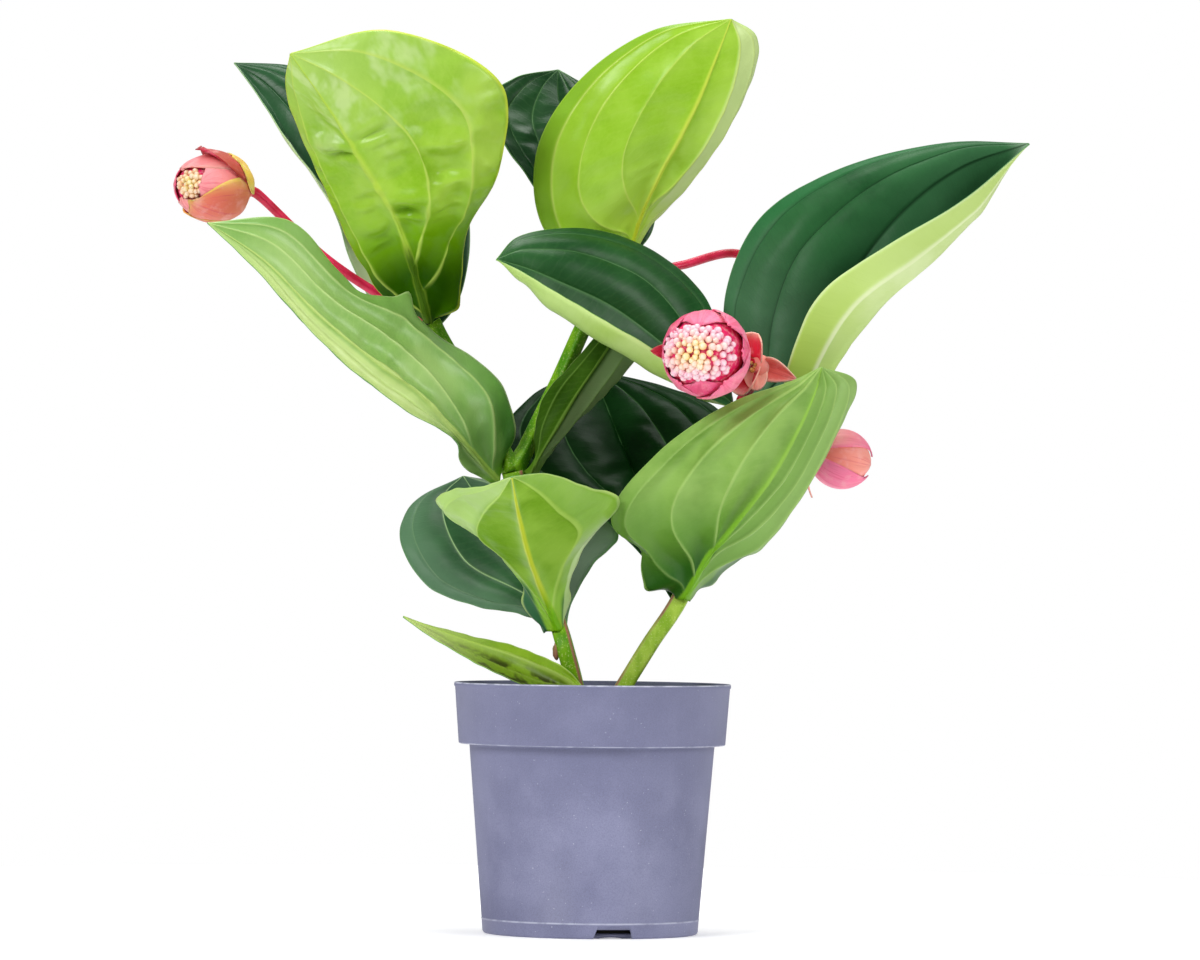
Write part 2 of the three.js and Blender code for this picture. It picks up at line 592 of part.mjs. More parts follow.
function receptacle(head) {
  const back = -headRadius(head, 0);
  const wide = head.radius * RECEPTACLE_SHARE;
  const cone = new THREE.LatheGeometry(profileOf([
    [0, back - RECEPTACLE_LENGTH],
    [STALK_RADIUS + COLLAR_WIDTH, back - RECEPTACLE_LENGTH],
    [wide, back],
    [wide, back + RECEPTACLE_SINK],
    [0, back + RECEPTACLE_SINK],
  ]), 8);
  return solidOf(cone.rotateX(Math.PI / 2));
}

function headSolid(head, turned) {
  const solids = [receptacle(head), ...head.bracts.map((bract) => bractSolid(head, bract))];
  for (const spur of head.spurs) {
    const standing = spurSheet(spur).applyQuaternion(turned.clone().invert());
    solids.push(solidOf(standing.translate(0, 0, -headRadius(head, 0) - RECEPTACLE_LENGTH / 3)));
  }
  return largestBody(joined(solids));
}

// Where a stalk meets its head: the last points of its centre line, in line with the head's axis.
function stalkPoints(name) {
  const head = HEADS[name];
  const axis = vector(head.mouth).normalize();
  const end = headRadius(head, 0) + RECEPTACLE_LENGTH + GAP;
  const behind = (distance) => vector(head.centre).addScaledVector(axis, -distance).toArray();
  return [...STALK_STARTS[name], behind(end + head.runIn), behind(end)];
}

// Buds on a dome under the head's mouth, in a sunflower order, with their feet sunk in a core.
function budsSolid(head) {
  const { count, spread, radius } = head.buds;
  const reach = head.radius - BRACT - GAP - radius;
  const core = new THREE.SphereGeometry(reach, 10, 7).rotateX(Math.PI / 2);
  const solids = [solidOf(core)];
  const golden = Math.PI * (3 - Math.sqrt(5));
  for (let k = 0; k < count; k++) {
    const polar = Math.PI - spread * Math.sqrt((k + 0.5) / count);
    const out = reach * Math.sin(polar);
    const bud = new THREE.IcosahedronGeometry(radius, 0);
    bud.translate(out * Math.cos(golden * k), out * Math.sin(golden * k), -reach * Math.cos(polar));
    solids.push(solidOf(bud));
  }
  return joined(solids);
}

function tierSolid() {
  const collar = solidOf(new THREE.SphereGeometry(TIER_RADIUS, 8, 6));
  const bracts = TIER_BRACTS.map((bract) => solidOf(spurSheet(bract)));
  const stalkSpace = stalkSolid(stalkPoints("right"), GAP);
  return largestBody(joined([collar, ...bracts]).translate(TIER_CENTRE).subtract(stalkSpace));
}

const plant = new THREE.Group();
const stemSpace = leftStemSolid(GAP).add(rightStemSolid(GAP));

plant.add(meshOf("pot", potSolid(), POT_LAVENDER, 0.7));
plant.add(meshOf("soil", soilSolid(), SOIL_BROWN, 1));
plant.add(meshOf("stem_left", leftStemSolid(), STEM_GREEN, 0.45));
plant.add(meshOf("stem_right", rightStemSolid(), STEM_GREEN, 0.45));
for (const [name, leaf] of Object.entries(LEAVES)) {
  const blade = largestBody(leafSolid(leaf).subtract(stemSpace));
  plant.add(meshOf(name, blade, leaf.light ? LEAF_UNDERSIDE : LEAF_UPPER, 0.35));
}

// Each head stands in a group of its own, turned so that its mouth points the right way.
for (const [name, head] of Object.entries(HEADS)) {
  const stalk = largestBody(stalkSolid(stalkPoints(name)).subtract(stemSpace));
  plant.add(meshOf("stalk_" + name, stalk, STALK_RED, 0.4));
  const group = new THREE.Group();
  group.position.copy(vector(head.centre));
  group.quaternion.setFromUnitVectors(new THREE.Vector3(0, 0, 1), vector(head.mouth).normalize());
  group.add(meshOf("bracts_" + name, headSolid(head, group.quaternion), BRACT_PINK, 0.5));
  if (head.buds) group.add(meshOf("buds_" + name, budsSolid(head), BUD_CREAM, 0.4));
  plant.add(group);
}
plant.add(meshOf("bracts_tier", tierSolid(), BRACT_CORAL, 0.5));

export default plant;
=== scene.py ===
import math
import random

import bmesh
import bpy
import numpy as np
from mathutils import Matrix, Vector, noise


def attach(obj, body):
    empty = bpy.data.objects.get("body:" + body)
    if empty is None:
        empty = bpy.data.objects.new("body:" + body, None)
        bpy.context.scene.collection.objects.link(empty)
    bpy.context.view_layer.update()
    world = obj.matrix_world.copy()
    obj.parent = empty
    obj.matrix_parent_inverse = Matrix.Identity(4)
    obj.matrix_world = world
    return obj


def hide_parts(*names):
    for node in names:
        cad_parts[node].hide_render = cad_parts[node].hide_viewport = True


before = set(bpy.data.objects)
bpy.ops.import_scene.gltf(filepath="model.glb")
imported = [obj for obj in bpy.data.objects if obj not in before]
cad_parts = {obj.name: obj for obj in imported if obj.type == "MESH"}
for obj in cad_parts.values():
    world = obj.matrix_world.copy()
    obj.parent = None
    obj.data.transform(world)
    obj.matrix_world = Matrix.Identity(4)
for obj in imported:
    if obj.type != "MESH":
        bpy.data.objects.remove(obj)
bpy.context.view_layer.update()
random.seed(12)


# ---------------------------------------------------------------------------------------------
# Pot: a 17 cm nursery pot, injection moulded in one piece from lavender-grey polypropylene, with
# a stepped band under its rim and three drain notches cut in the edge of its base. The plant
# stands loose in it, and it rests on its foot.
POT_HEIGHT = 0.155
RIM_RADIUS = 0.0854
BAND_RADIUS = 0.0826
BODY_RADIUS = 0.076
BASE_RADIUS = 0.0666
BAND_BOTTOM = 0.117
POT_WALL = 0.002
POT_FLOOR = 0.003
POT_STEPS = 160
NOTCHES = 3
NOTCH_TURN = -77.4
NOTCH_FOOT = 0.028
NOTCH_TOP = 0.021
NOTCH_HEIGHT = 0.0058
NOTCH_DEPTH = 0.009
FOOT_LINE = 0.0092


def piece(name, form, *finishes, smooth=True):
    """The bmesh as an object of its own, with these materials."""
    mesh = bpy.data.meshes.new(name)
    form.to_mesh(mesh)
    form.free()
    made = bpy.data.objects.new(name, mesh)
    bpy.context.scene.collection.objects.link(made)
    for finish in finishes:
        mesh.materials.append(finish)
    if smooth:
        mesh.polygons.foreach_set("use_smooth", [True] * len(mesh.polygons))
    return made


def settle(made, node):
    """Puts the piece in the place of its CAD node."""
    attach(made, "root")
    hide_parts(node)


def finish_named(name, roughness, **sockets):
    """A new material with one Principled shader, and its node tree."""
    material = bpy.data.materials.new(name)
    material.use_nodes = True
    shader = material.node_tree.nodes["Principled BSDF"]
    for socket, value in {"Roughness": roughness, **sockets}.items():
        shader.inputs[socket.replace("_", " ")].default_value = value
    return material, material.node_tree


def linked(material, **outputs):
    """The material, with each of these outputs linked to the shader's socket of that name."""
    tree = material.node_tree
    for socket, output in outputs.items():
        tree.links.new(output, tree.nodes["Principled BSDF"].inputs[socket.replace("_", " ")])
    return material


def node(tree, kind, inputs=None, **settings):
    """A shader node. Each input is a plain value or another node's output."""
    made = tree.nodes.new("ShaderNode" + kind)
    for name, value in settings.items():
        setattr(made, name, value)
    for socket, value in (inputs or {}).items():
        if isinstance(value, bpy.types.NodeSocket):
            tree.links.new(value, made.inputs[socket])
        else:
            made.inputs[socket].default_value = value
    return made


def paint(tone):
    """A colour written as for a screen, RRGGBB, in the renderer's linear values."""
    shades = bytes.fromhex(tone)
    linear = [((c / 255 + 0.055) / 1.055) ** 2.4 if c > 10 else c / 3294.6 for c in shades]
    return (*linear, 1)


def mixed(tree, share, first, second, way="MIX"):
    """A colour between two colours."""
    made = node(tree, "Mix", {0: share, 6: first, 7: second}, data_type="RGBA", blend_type=way)
    return made.outputs[2]


def eased(tree, value, low, high, to_low=0.0, to_high=1.0):
    """value from low to high, taken smoothly to the other two numbers."""
    inputs = {0: value, 1: low, 2: high, 3: to_low, 4: to_high}
    return node(tree, "MapRange", inputs, interpolation_type="SMOOTHSTEP").outputs[0]


def noise_at(tree, place, scale, detail=3, roughness=0.5):
    inputs = {"Vector": place, "Scale": scale, "Detail": detail, "Roughness": roughness}
    return node(tree, "TexNoise", inputs).outputs["Fac"]


def relief(tree, height, depth, strength=1.0, under=None):
    """A bump of that depth in metres, on top of another one."""
    inputs = {"Height": height, "Distance": depth, "Strength": strength}
    if under is not None:
        inputs["Normal"] = under
    return node(tree, "Bump", inputs).outputs["Normal"]


def spun(form, profile, steps, rounding=(), merge=1e-6):
    """Adds a solid of revolution about Z to the form and returns its vertices. rounding gives
    (corner number, radius) of rounded corners."""
    before = set(form.verts)
    corners = [form.verts.new((radius, 0, height)) for radius, height in profile]
    for pair in zip(corners, corners[1:]):
        form.edges.new(pair)
    for number, radius in rounding:
        bmesh.ops.bevel(form, geom=[corners[number]], affect="VERTICES", offset=radius,
                        segments=4, profile=0.5, material=-1)
    line = [v for v in form.verts if v not in before]
    line += [e for e in form.edges if e.verts[0] not in before]
    bmesh.ops.spin(form, geom=line, cent=(0, 0, 0), axis=(0, 0, 1), angle=2 * math.pi,
                   steps=steps, use_merge=True)
    turned = [v for v in form.verts if v not in before]
    bmesh.ops.remove_doubles(form, verts=turned, dist=merge)
    faces = [f for f in form.faces if f.verts[0] not in before]
    bmesh.ops.recalc_face_normals(form, faces=faces)
    return [v for v in form.verts if v not in before]


def between(tree, value, middle, reach):
    """1 where value is at middle, and 0 further than reach away."""
    away = node(tree, "Math", {0: value, 1: middle}, operation="SUBTRACT").outputs[0]
    away = node(tree, "Math", {0: away}, operation="ABSOLUTE").outputs[0]
    return eased(tree, away, reach, reach * 0.4)


def times(tree, first, second):
    return node(tree, "Math", {0: first, 1: second}, operation="MULTIPLY").outputs[0]


def soft_mould(name, tone, dark, light, edge):
    """Matt polypropylene: faintly clouded, grainy close by, with pale specks. The edge tone also
    paints highlights along the rim's lip and the band's step and a pale line along the seam, broken
    up by noise, and the dark tone paints shade on the body just under the band.
    """
    material, tree = finish_named(name, 0.55, Specular_IOR_Level=0.28)
    place = node(tree, "TexCoord").outputs["Object"]
    clouds = noise_at(tree, place, 24, 4, 0.55)
    grain = noise_at(tree, place, 1300, 2, 0.7)
    specks = noise_at(tree, place, 620, 1, 0.5)
    drawn = node(tree, "Mapping", {"Vector": place, "Scale": (1, 1, 0.1)}).outputs[0]
    streaks = noise_at(tree, drawn, 180, 3, 0.6)
    colour = mixed(tree, eased(tree, clouds, 0.34, 0.66), dark, light)
    colour = mixed(tree, 0.4, tone, colour)
    colour = mixed(tree, eased(tree, streaks, 0.35, 0.65, 0, 0.06), colour, light)
    speckled = mixed(tree, eased(tree, grain, 0.35, 0.68, 0.82, 1.1), (0, 0, 0, 1), (1, 1, 1, 1))
    colour = mixed(tree, 0.75, colour, speckled, "MULTIPLY")
    colour = mixed(tree, eased(tree, specks, 0.73, 0.8, 0, 0.4), colour, edge)
    part = node(tree, "SeparateXYZ", {0: place}).outputs
    height = part["Z"]
    # Painted shade: the body darkens towards the underside of the band.
    colour = mixed(tree, eased(tree, height, 0.07, BAND_BOTTOM, 0, 0.4), colour, dark)
    level = node(tree, "CombineXYZ", {0: part["X"], 1: part["Y"]}).outputs[0]
    radius = node(tree, "VectorMath", {0: level}, operation="LENGTH").outputs["Value"]
    line_breaks = eased(tree, noise_at(tree, place, 90, 3, 0.6), 0.4, 0.6, 0.35, 1)
    lip = times(tree, between(tree, height, POT_HEIGHT, 0.0011),
                between(tree, radius, RIM_RADIUS + 0.0004, 0.0011))
    step = times(tree, between(tree, height, BAND_BOTTOM, 0.0009),
                 eased(tree, radius, BAND_RADIUS - 0.0012, BAND_RADIUS - 0.0006))
    seam = between(tree, height, FOOT_LINE, 0.0007)
    # Painted highlights where the rim's lip and the band's step catch the light, and a pale line
    # along the seam.
    for line, strength in ((lip, 0.85), (step, 0.5), (seam, 0.55)):
        colour = mixed(tree, times(tree, times(tree, line, line_breaks), strength), colour, edge)
    rough = eased(tree, clouds, 0.3, 0.7, 0.44, 0.56)
    bump = relief(tree, grain, 0.00008, 0.5, relief(tree, streaks, 0.00012, 0.6))
    return linked(material, Base_Color=colour, Roughness=rough, Normal=bump)


slope = (BODY_RADIUS - BASE_RADIUS) / BAND_BOTTOM
foot_line_radius = BASE_RADIUS + slope * FOOT_LINE
pot_profile = [
    (0, 0.0008),
    (BASE_RADIUS - 0.009, 0.0008),
    (BASE_RADIUS - 0.0085, 0),
    (BASE_RADIUS, 0),
    (foot_line_radius, FOOT_LINE - 0.0004),
    (foot_line_radius + 0.00035, FOOT_LINE),
    (foot_line_radius, FOOT_LINE + 0.0004),
    (BODY_RADIUS, BAND_BOTTOM),
    (BAND_RADIUS, BAND_BOTTOM),
    (RIM_RADIUS - 0.0002, POT_HEIGHT - 0.003),
    (RIM_RADIUS + 0.0004, POT_HEIGHT - 0.0022),
    (RIM_RADIUS + 0.0004, POT_HEIGHT),
    (RIM_RADIUS - 0.0028, POT_HEIGHT),
    (BAND_RADIUS - POT_WALL, BAND_BOTTOM + POT_WALL),
    (BODY_RADIUS - POT_WALL, BAND_BOTTOM - POT_WALL),
    (BASE_RADIUS - POT_WALL, POT_FLOOR),
    (0, POT_FLOOR),
]
form = bmesh.new()
spun(form, pot_profile, POT_STEPS, [
    (15, 0.003), (14, 0.001), (13, 0.001), (12, 0.0007), (11, 0.0007), (8, 0.0009), (7, 0.0007),
    (3, 0.0018)])
wall = soft_mould("lavender_polypropylene", *map(paint, ("7c7e9b", "666886", "8c8eac", "ced1e2")))
pot = piece("nursery_pot", form, wall)
cutters = bmesh.new()
for k in range(NOTCHES):
    outline = [(-NOTCH_FOOT / 2, -0.004), (NOTCH_FOOT / 2, -0.004), (NOTCH_TOP / 2, NOTCH_HEIGHT),
               (-NOTCH_TOP / 2, NOTCH_HEIGHT)]
    outer = [cutters.verts.new((x, -BASE_RADIUS - NOTCH_DEPTH, z)) for x, z in outline]
    face = cutters.faces.new(outer)
    pulled = bmesh.ops.extrude_face_region(cutters, geom=[face])["geom"]
    moved = [v for v in pulled if isinstance(v, bmesh.types.BMVert)]
    bmesh.ops.translate(cutters, verts=moved, vec=(0, 2 * NOTCH_DEPTH, 0))
    turn = Matrix.Rotation(math.radians(NOTCH_TURN + 90 + 360 / NOTCHES * k), 3, "Z")
    bmesh.ops.rotate(cutters, verts=outer + moved, cent=(0, 0, 0), matrix=turn)
bmesh.ops.recalc_face_normals(cutters, faces=cutters.faces)
tool = piece("notch_tool", cutters)
cut = pot.modifiers.new("notches", "BOOLEAN")
cut.object, cut.operation, cut.solver = tool, "DIFFERENCE", "EXACT"
bpy.context.view_layer.update()
trimmed = bpy.data.meshes.new_from_object(pot.evaluated_get(bpy.context.evaluated_depsgraph_get()))
pot.modifiers.clear()
pot.data = trimmed
bpy.data.objects.remove(tool)
settle(pot, "pot")


# ---------------------------------------------------------------------------------------------
# Potting mix: moist dark peat with bark and a few pale grains. It is filled in loosely round the
# roots, so that its top is crumbly and a little higher round the stems.
SOIL_TOP = 0.139
CRUMBS = 420
soil_wall = BAND_RADIUS - POT_WALL - 0.001
form = bmesh.new()
spun(form, [
    (0, 0.0034), (BASE_RADIUS - 0.0085, 0.0034), (BASE_RADIUS - 0.0085, 0.009),
    (BASE_RADIUS - 0.0022, 0.011), (BODY_RADIUS - 0.0026, BAND_BOTTOM - 0.003),
    (soil_wall, BAND_BOTTOM + 0.003), (soil_wall, SOIL_TOP - 0.001),
    (soil_wall * 0.8, SOIL_TOP), (soil_wall * 0.45, SOIL_TOP + 0.0021), (0, SOIL_TOP + 0.003)], 72)
top = [e for e in form.edges if min(v.co.z for v in e.verts) > SOIL_TOP - 0.0005]
bmesh.ops.subdivide_edges(form, edges=top, cuts=7, use_grid_fill=True)
for vertex in form.verts:
    if vertex.co.z > SOIL_TOP - 0.002:
        place = vertex.co * 160
        lumps = noise.noise(place) + 0.6 * noise.noise(place * 2.7)
        vertex.co.z += 0.0011 * lumps
crumbs = random.Random(5)
for _ in range(CRUMBS):
    reach = (soil_wall - 0.003) * math.sqrt(crumbs.random())
    turn = crumbs.uniform(0, 2 * math.pi)
    size = crumbs.uniform(0.0009, 0.0026)
    rise = 0.003 * (1 - reach / soil_wall)
    grain = bmesh.ops.create_icosphere(form, subdivisions=1, radius=size)["verts"]
    for vertex in grain:
        vertex.co *= 1 + 0.35 * noise.noise(vertex.co * 900 + Vector((turn, reach * 90, 0)))
    bmesh.ops.scale(form, verts=grain, vec=(crumbs.uniform(0.8, 1.7), 1, crumbs.uniform(0.5, 0.9)))
    bmesh.ops.rotate(form, verts=grain, cent=(0, 0, 0),
                     matrix=Matrix.Rotation(crumbs.uniform(0, math.pi), 3, "Z"))
    spot = (reach * math.cos(turn), reach * math.sin(turn), SOIL_TOP + rise + 0.0003)
    bmesh.ops.translate(form, verts=grain, vec=spot)

peat, tree = finish_named("peat_and_bark", 0.92, Specular_IOR_Level=0.25)
place = node(tree, "TexCoord").outputs["Object"]
flecks = node(tree, "TexVoronoi", {"Vector": place, "Scale": 420.0}, feature="F1")
colour = mixed(tree, eased(tree, noise_at(tree, place, 160, 5, 0.65), 0.35, 0.7),
               paint("261b14"), paint("58402e"))
pale = eased(tree, flecks.outputs["Color"], 0.93, 0.97, 0, 0.75)
colour = mixed(tree, pale, colour, paint("bab0a0"))
height = node(tree, "SeparateXYZ", {0: place}).outputs["Z"]
# Painted shade: the mix turns nearly black low in the pot, where it shows through the drain
# notches.
colour = mixed(tree, eased(tree, height, 0.04, 0.015), colour, paint("0c0907"))
bump = relief(tree, noise_at(tree, place, 900, 6, 0.7), 0.0009, 0.9)
linked(peat, Base_Color=colour, Normal=bump)
settle(piece("potting_mix", form, peat, smooth=False), "soil")


# ---------------------------------------------------------------------------------------------
# Stems: fleshy green shoots, square with a raised ridge along each corner that ages to a brownish
# pink. They swell at every leaf node and stand in the potting mix. The left one forks.
LEFT_TRUNK = [[-9, 4, 122], [-8, 1, 132], [-9, -4, 145], [-17, -9, 176], [-22, 0, 192],
              [-33, 2, 222], [-44, -2, 256], [-51, -3, 285]]
LEFT_BRANCH = [[-51, -3, 285], [-61, 6, 305], [-77, 10, 333], [-91, 9, 358], [-103, 7, 377]]
CENTRE_BRANCH = [[-51, -3, 285], [-44, 8, 298], [-36, 17, 315], [-22, 24, 345], [-9, 28, 375],
                 [4, 29, 402], [18, 28, 421]]
RIGHT_TRUNK = [[9, 4, 122], [10, 1, 132], [15, -3, 145], [35, -3, 179], [54, 0, 209],
               [69, 8, 251], [80, 12, 295], [90, 10, 329]]
TRUNK_RADIUS = 0.0059
BRANCH_RADIUS = 0.0049
CURVE_SAMPLES = 400


def curve_through(points, shares):
    """Points in metres on the smooth curve through these points in millimetres."""
    p = np.array(points, float) * 0.001
    p = np.vstack([2 * p[0] - p[1], p, 2 * p[-1] - p[-2]])
    place = np.clip(shares, 0, 1) * (len(points) - 1)
    i = np.minimum(place.astype(int), len(points) - 2)
    w = (place - i)[:, None]
    a, b, c, d = p[i], p[i + 1], p[i + 2], p[i + 3]
    ab, bc, cd = (np.linalg.norm(y - x, axis=1)[:, None] ** 0.5
                  for x, y in ((a, b), (b, c), (c, d)))
    out = ((b - a) / ab - (c - a) / (ab + bc) + (c - b) / bc) * bc
    into = ((c - b) / bc - (d - b) / (bc + cd) + (d - c) / cd) * bc
    return b + out * w + (3 * (c - b) - 2 * out - into) * w**2 + (2 * (b - c) + out + into) * w**3


def rod(form, points, reach_at, sides, step, start=(0, -1, 0)):
    """A closed rod along a curve. reach_at(angle, share) is its radius, and start is where angle 0
    points at its foot. Its ridge attribute is 1 along the corner there and slight along the others.
    """
    shares = np.linspace(0, 1, CURVE_SAMPLES)
    track = curve_through(points, shares)
    length = np.concatenate([[0], np.cumsum(np.linalg.norm(np.diff(track, axis=0), axis=1))])
    rings = max(4, int(length[-1] / step))
    even = np.interp(np.linspace(0, length[-1], rings + 1), length, shares)
    middle = [Vector(p) for p in curve_through(points, even)]
    ridge = form.verts.layers.float.get("ridge") or form.verts.layers.float.new("ridge")
    grid = bmesh.ops.create_grid(form, x_segments=sides, y_segments=rings, size=0.5)["verts"]
    side = Vector(start)
    frames = []
    for j, point in enumerate(middle):
        ahead = (middle[min(j + 1, rings)] - middle[max(j - 1, 0)]).normalized()
        side = (side - ahead * side.dot(ahead)).normalized()
        frames.append((point, side, ahead.cross(side)))
    for vertex in grid:
        turn = (vertex.co.x + 0.5) * 2 * math.pi
        j = round((vertex.co.y + 0.5) * rings)
        point, along_x, along_y = frames[j]
        reach = reach_at(turn, j / rings)
        vertex.co = point + along_x * (reach * math.cos(turn)) + along_y * (reach * math.sin(turn))
        vertex[ridge] = max(0, math.cos(4 * turn)) * (0.15 + 0.85 * max(0, math.cos(turn)))
    bmesh.ops.remove_doubles(form, verts=grid, dist=1e-6)
    bmesh.ops.holes_fill(form, edges=[e for e in form.edges if e.is_boundary], sides=0)


def square_stem(form, points, radius, nodes, start=(0, -1, 0)):
    """A stem with four ridges that swells at these shares of its length."""
    def reach_at(turn, share):
        corner = 0.5 + 0.5 * math.cos(4 * turn)
        swell = sum(0.24 * math.exp(-((share - place) * size) ** 2) for place, size in nodes)
        wobble = 0.03 * noise.noise(Vector((math.cos(turn), math.sin(turn), share * 11)))
        return radius * (0.9 + 0.2 * corner**2 + swell + wobble)
    rod(form, points, reach_at, 32, 0.0025, start)


def stem_skin(name, fresh, deep, corner):
    """Green bark: speckled, lighter in streaks, with brownish pink corners."""
    material, tree = finish_named(name, 0.42, Specular_IOR_Level=0.14)
    place = node(tree, "TexCoord").outputs["Object"]
    corners = node(tree, "Attribute", attribute_name="ridge").outputs["Fac"]
    drawn = node(tree, "Mapping", {"Vector": place, "Scale": (1, 1, 0.3)}).outputs[0]
    colour = mixed(tree, eased(tree, noise_at(tree, drawn, 150, 4), 0.35, 0.65), deep, fresh)
    spots = noise_at(tree, place, 800, 2, 0.6)
    colour = mixed(tree, eased(tree, spots, 0.56, 0.7, 0, 0.45), colour, paint("ccdc82"))
    aged = times(tree, eased(tree, corners, 0.5, 0.95),
                 eased(tree, noise_at(tree, place, 24, 2), 0.36, 0.5, 0.35, 1))
    colour = mixed(tree, aged, colour, corner)
    return linked(material, Base_Color=colour, Normal=relief(tree, spots, 0.0002, 0.5))


bark = stem_skin("deep_green_bark", paint("72a414"), paint("4a860c"), paint("966852"))
form = bmesh.new()
square_stem(form, LEFT_TRUNK, TRUNK_RADIUS, [(0.55, 16), (1, 16)], (0.7, -0.7, 0))
square_stem(form, LEFT_BRANCH, BRANCH_RADIUS, [(0, 9), (1, 12)], (0, 1, 0))
square_stem(form, CENTRE_BRANCH, BRANCH_RADIUS, [(0, 12), (1, 16)], (0, 1, 0))
scar = bmesh.ops.create_icosphere(form, subdivisions=3, radius=0.003)["verts"]
bmesh.ops.scale(form, verts=scar, vec=(0.8, 0.8, 1.9))
bmesh.ops.translate(form, verts=scar, vec=(-0.0225, -0.0105, 0.1745))
for vertex in scar:
    vertex.co += Vector((0.0008 * noise.noise(vertex.co * 500), 0, 0))
    vertex[form.verts.layers.float["ridge"]] = 1
settle(piece("forked_stem", form, bark), "stem_left")
bark = stem_skin("light_green_bark", paint("a4c448"), paint("82aa2c"), paint("986c56"))
form = bmesh.new()
square_stem(form, RIGHT_TRUNK, TRUNK_RADIUS, [(0.57, 22), (1, 22)], (-0.8, -0.6, 0))
settle(piece("single_stem", form, bark), "stem_right")


# ---------------------------------------------------------------------------------------------
# Leaves: thick, leathery and stalkless, in pairs that clasp the stem at each node. Arched side
# veins leave the rib one after another above the base and meet again at the tip, sunk in the
# glossy dark upper face and raised on the pale under face, and the blade is quilted between them.

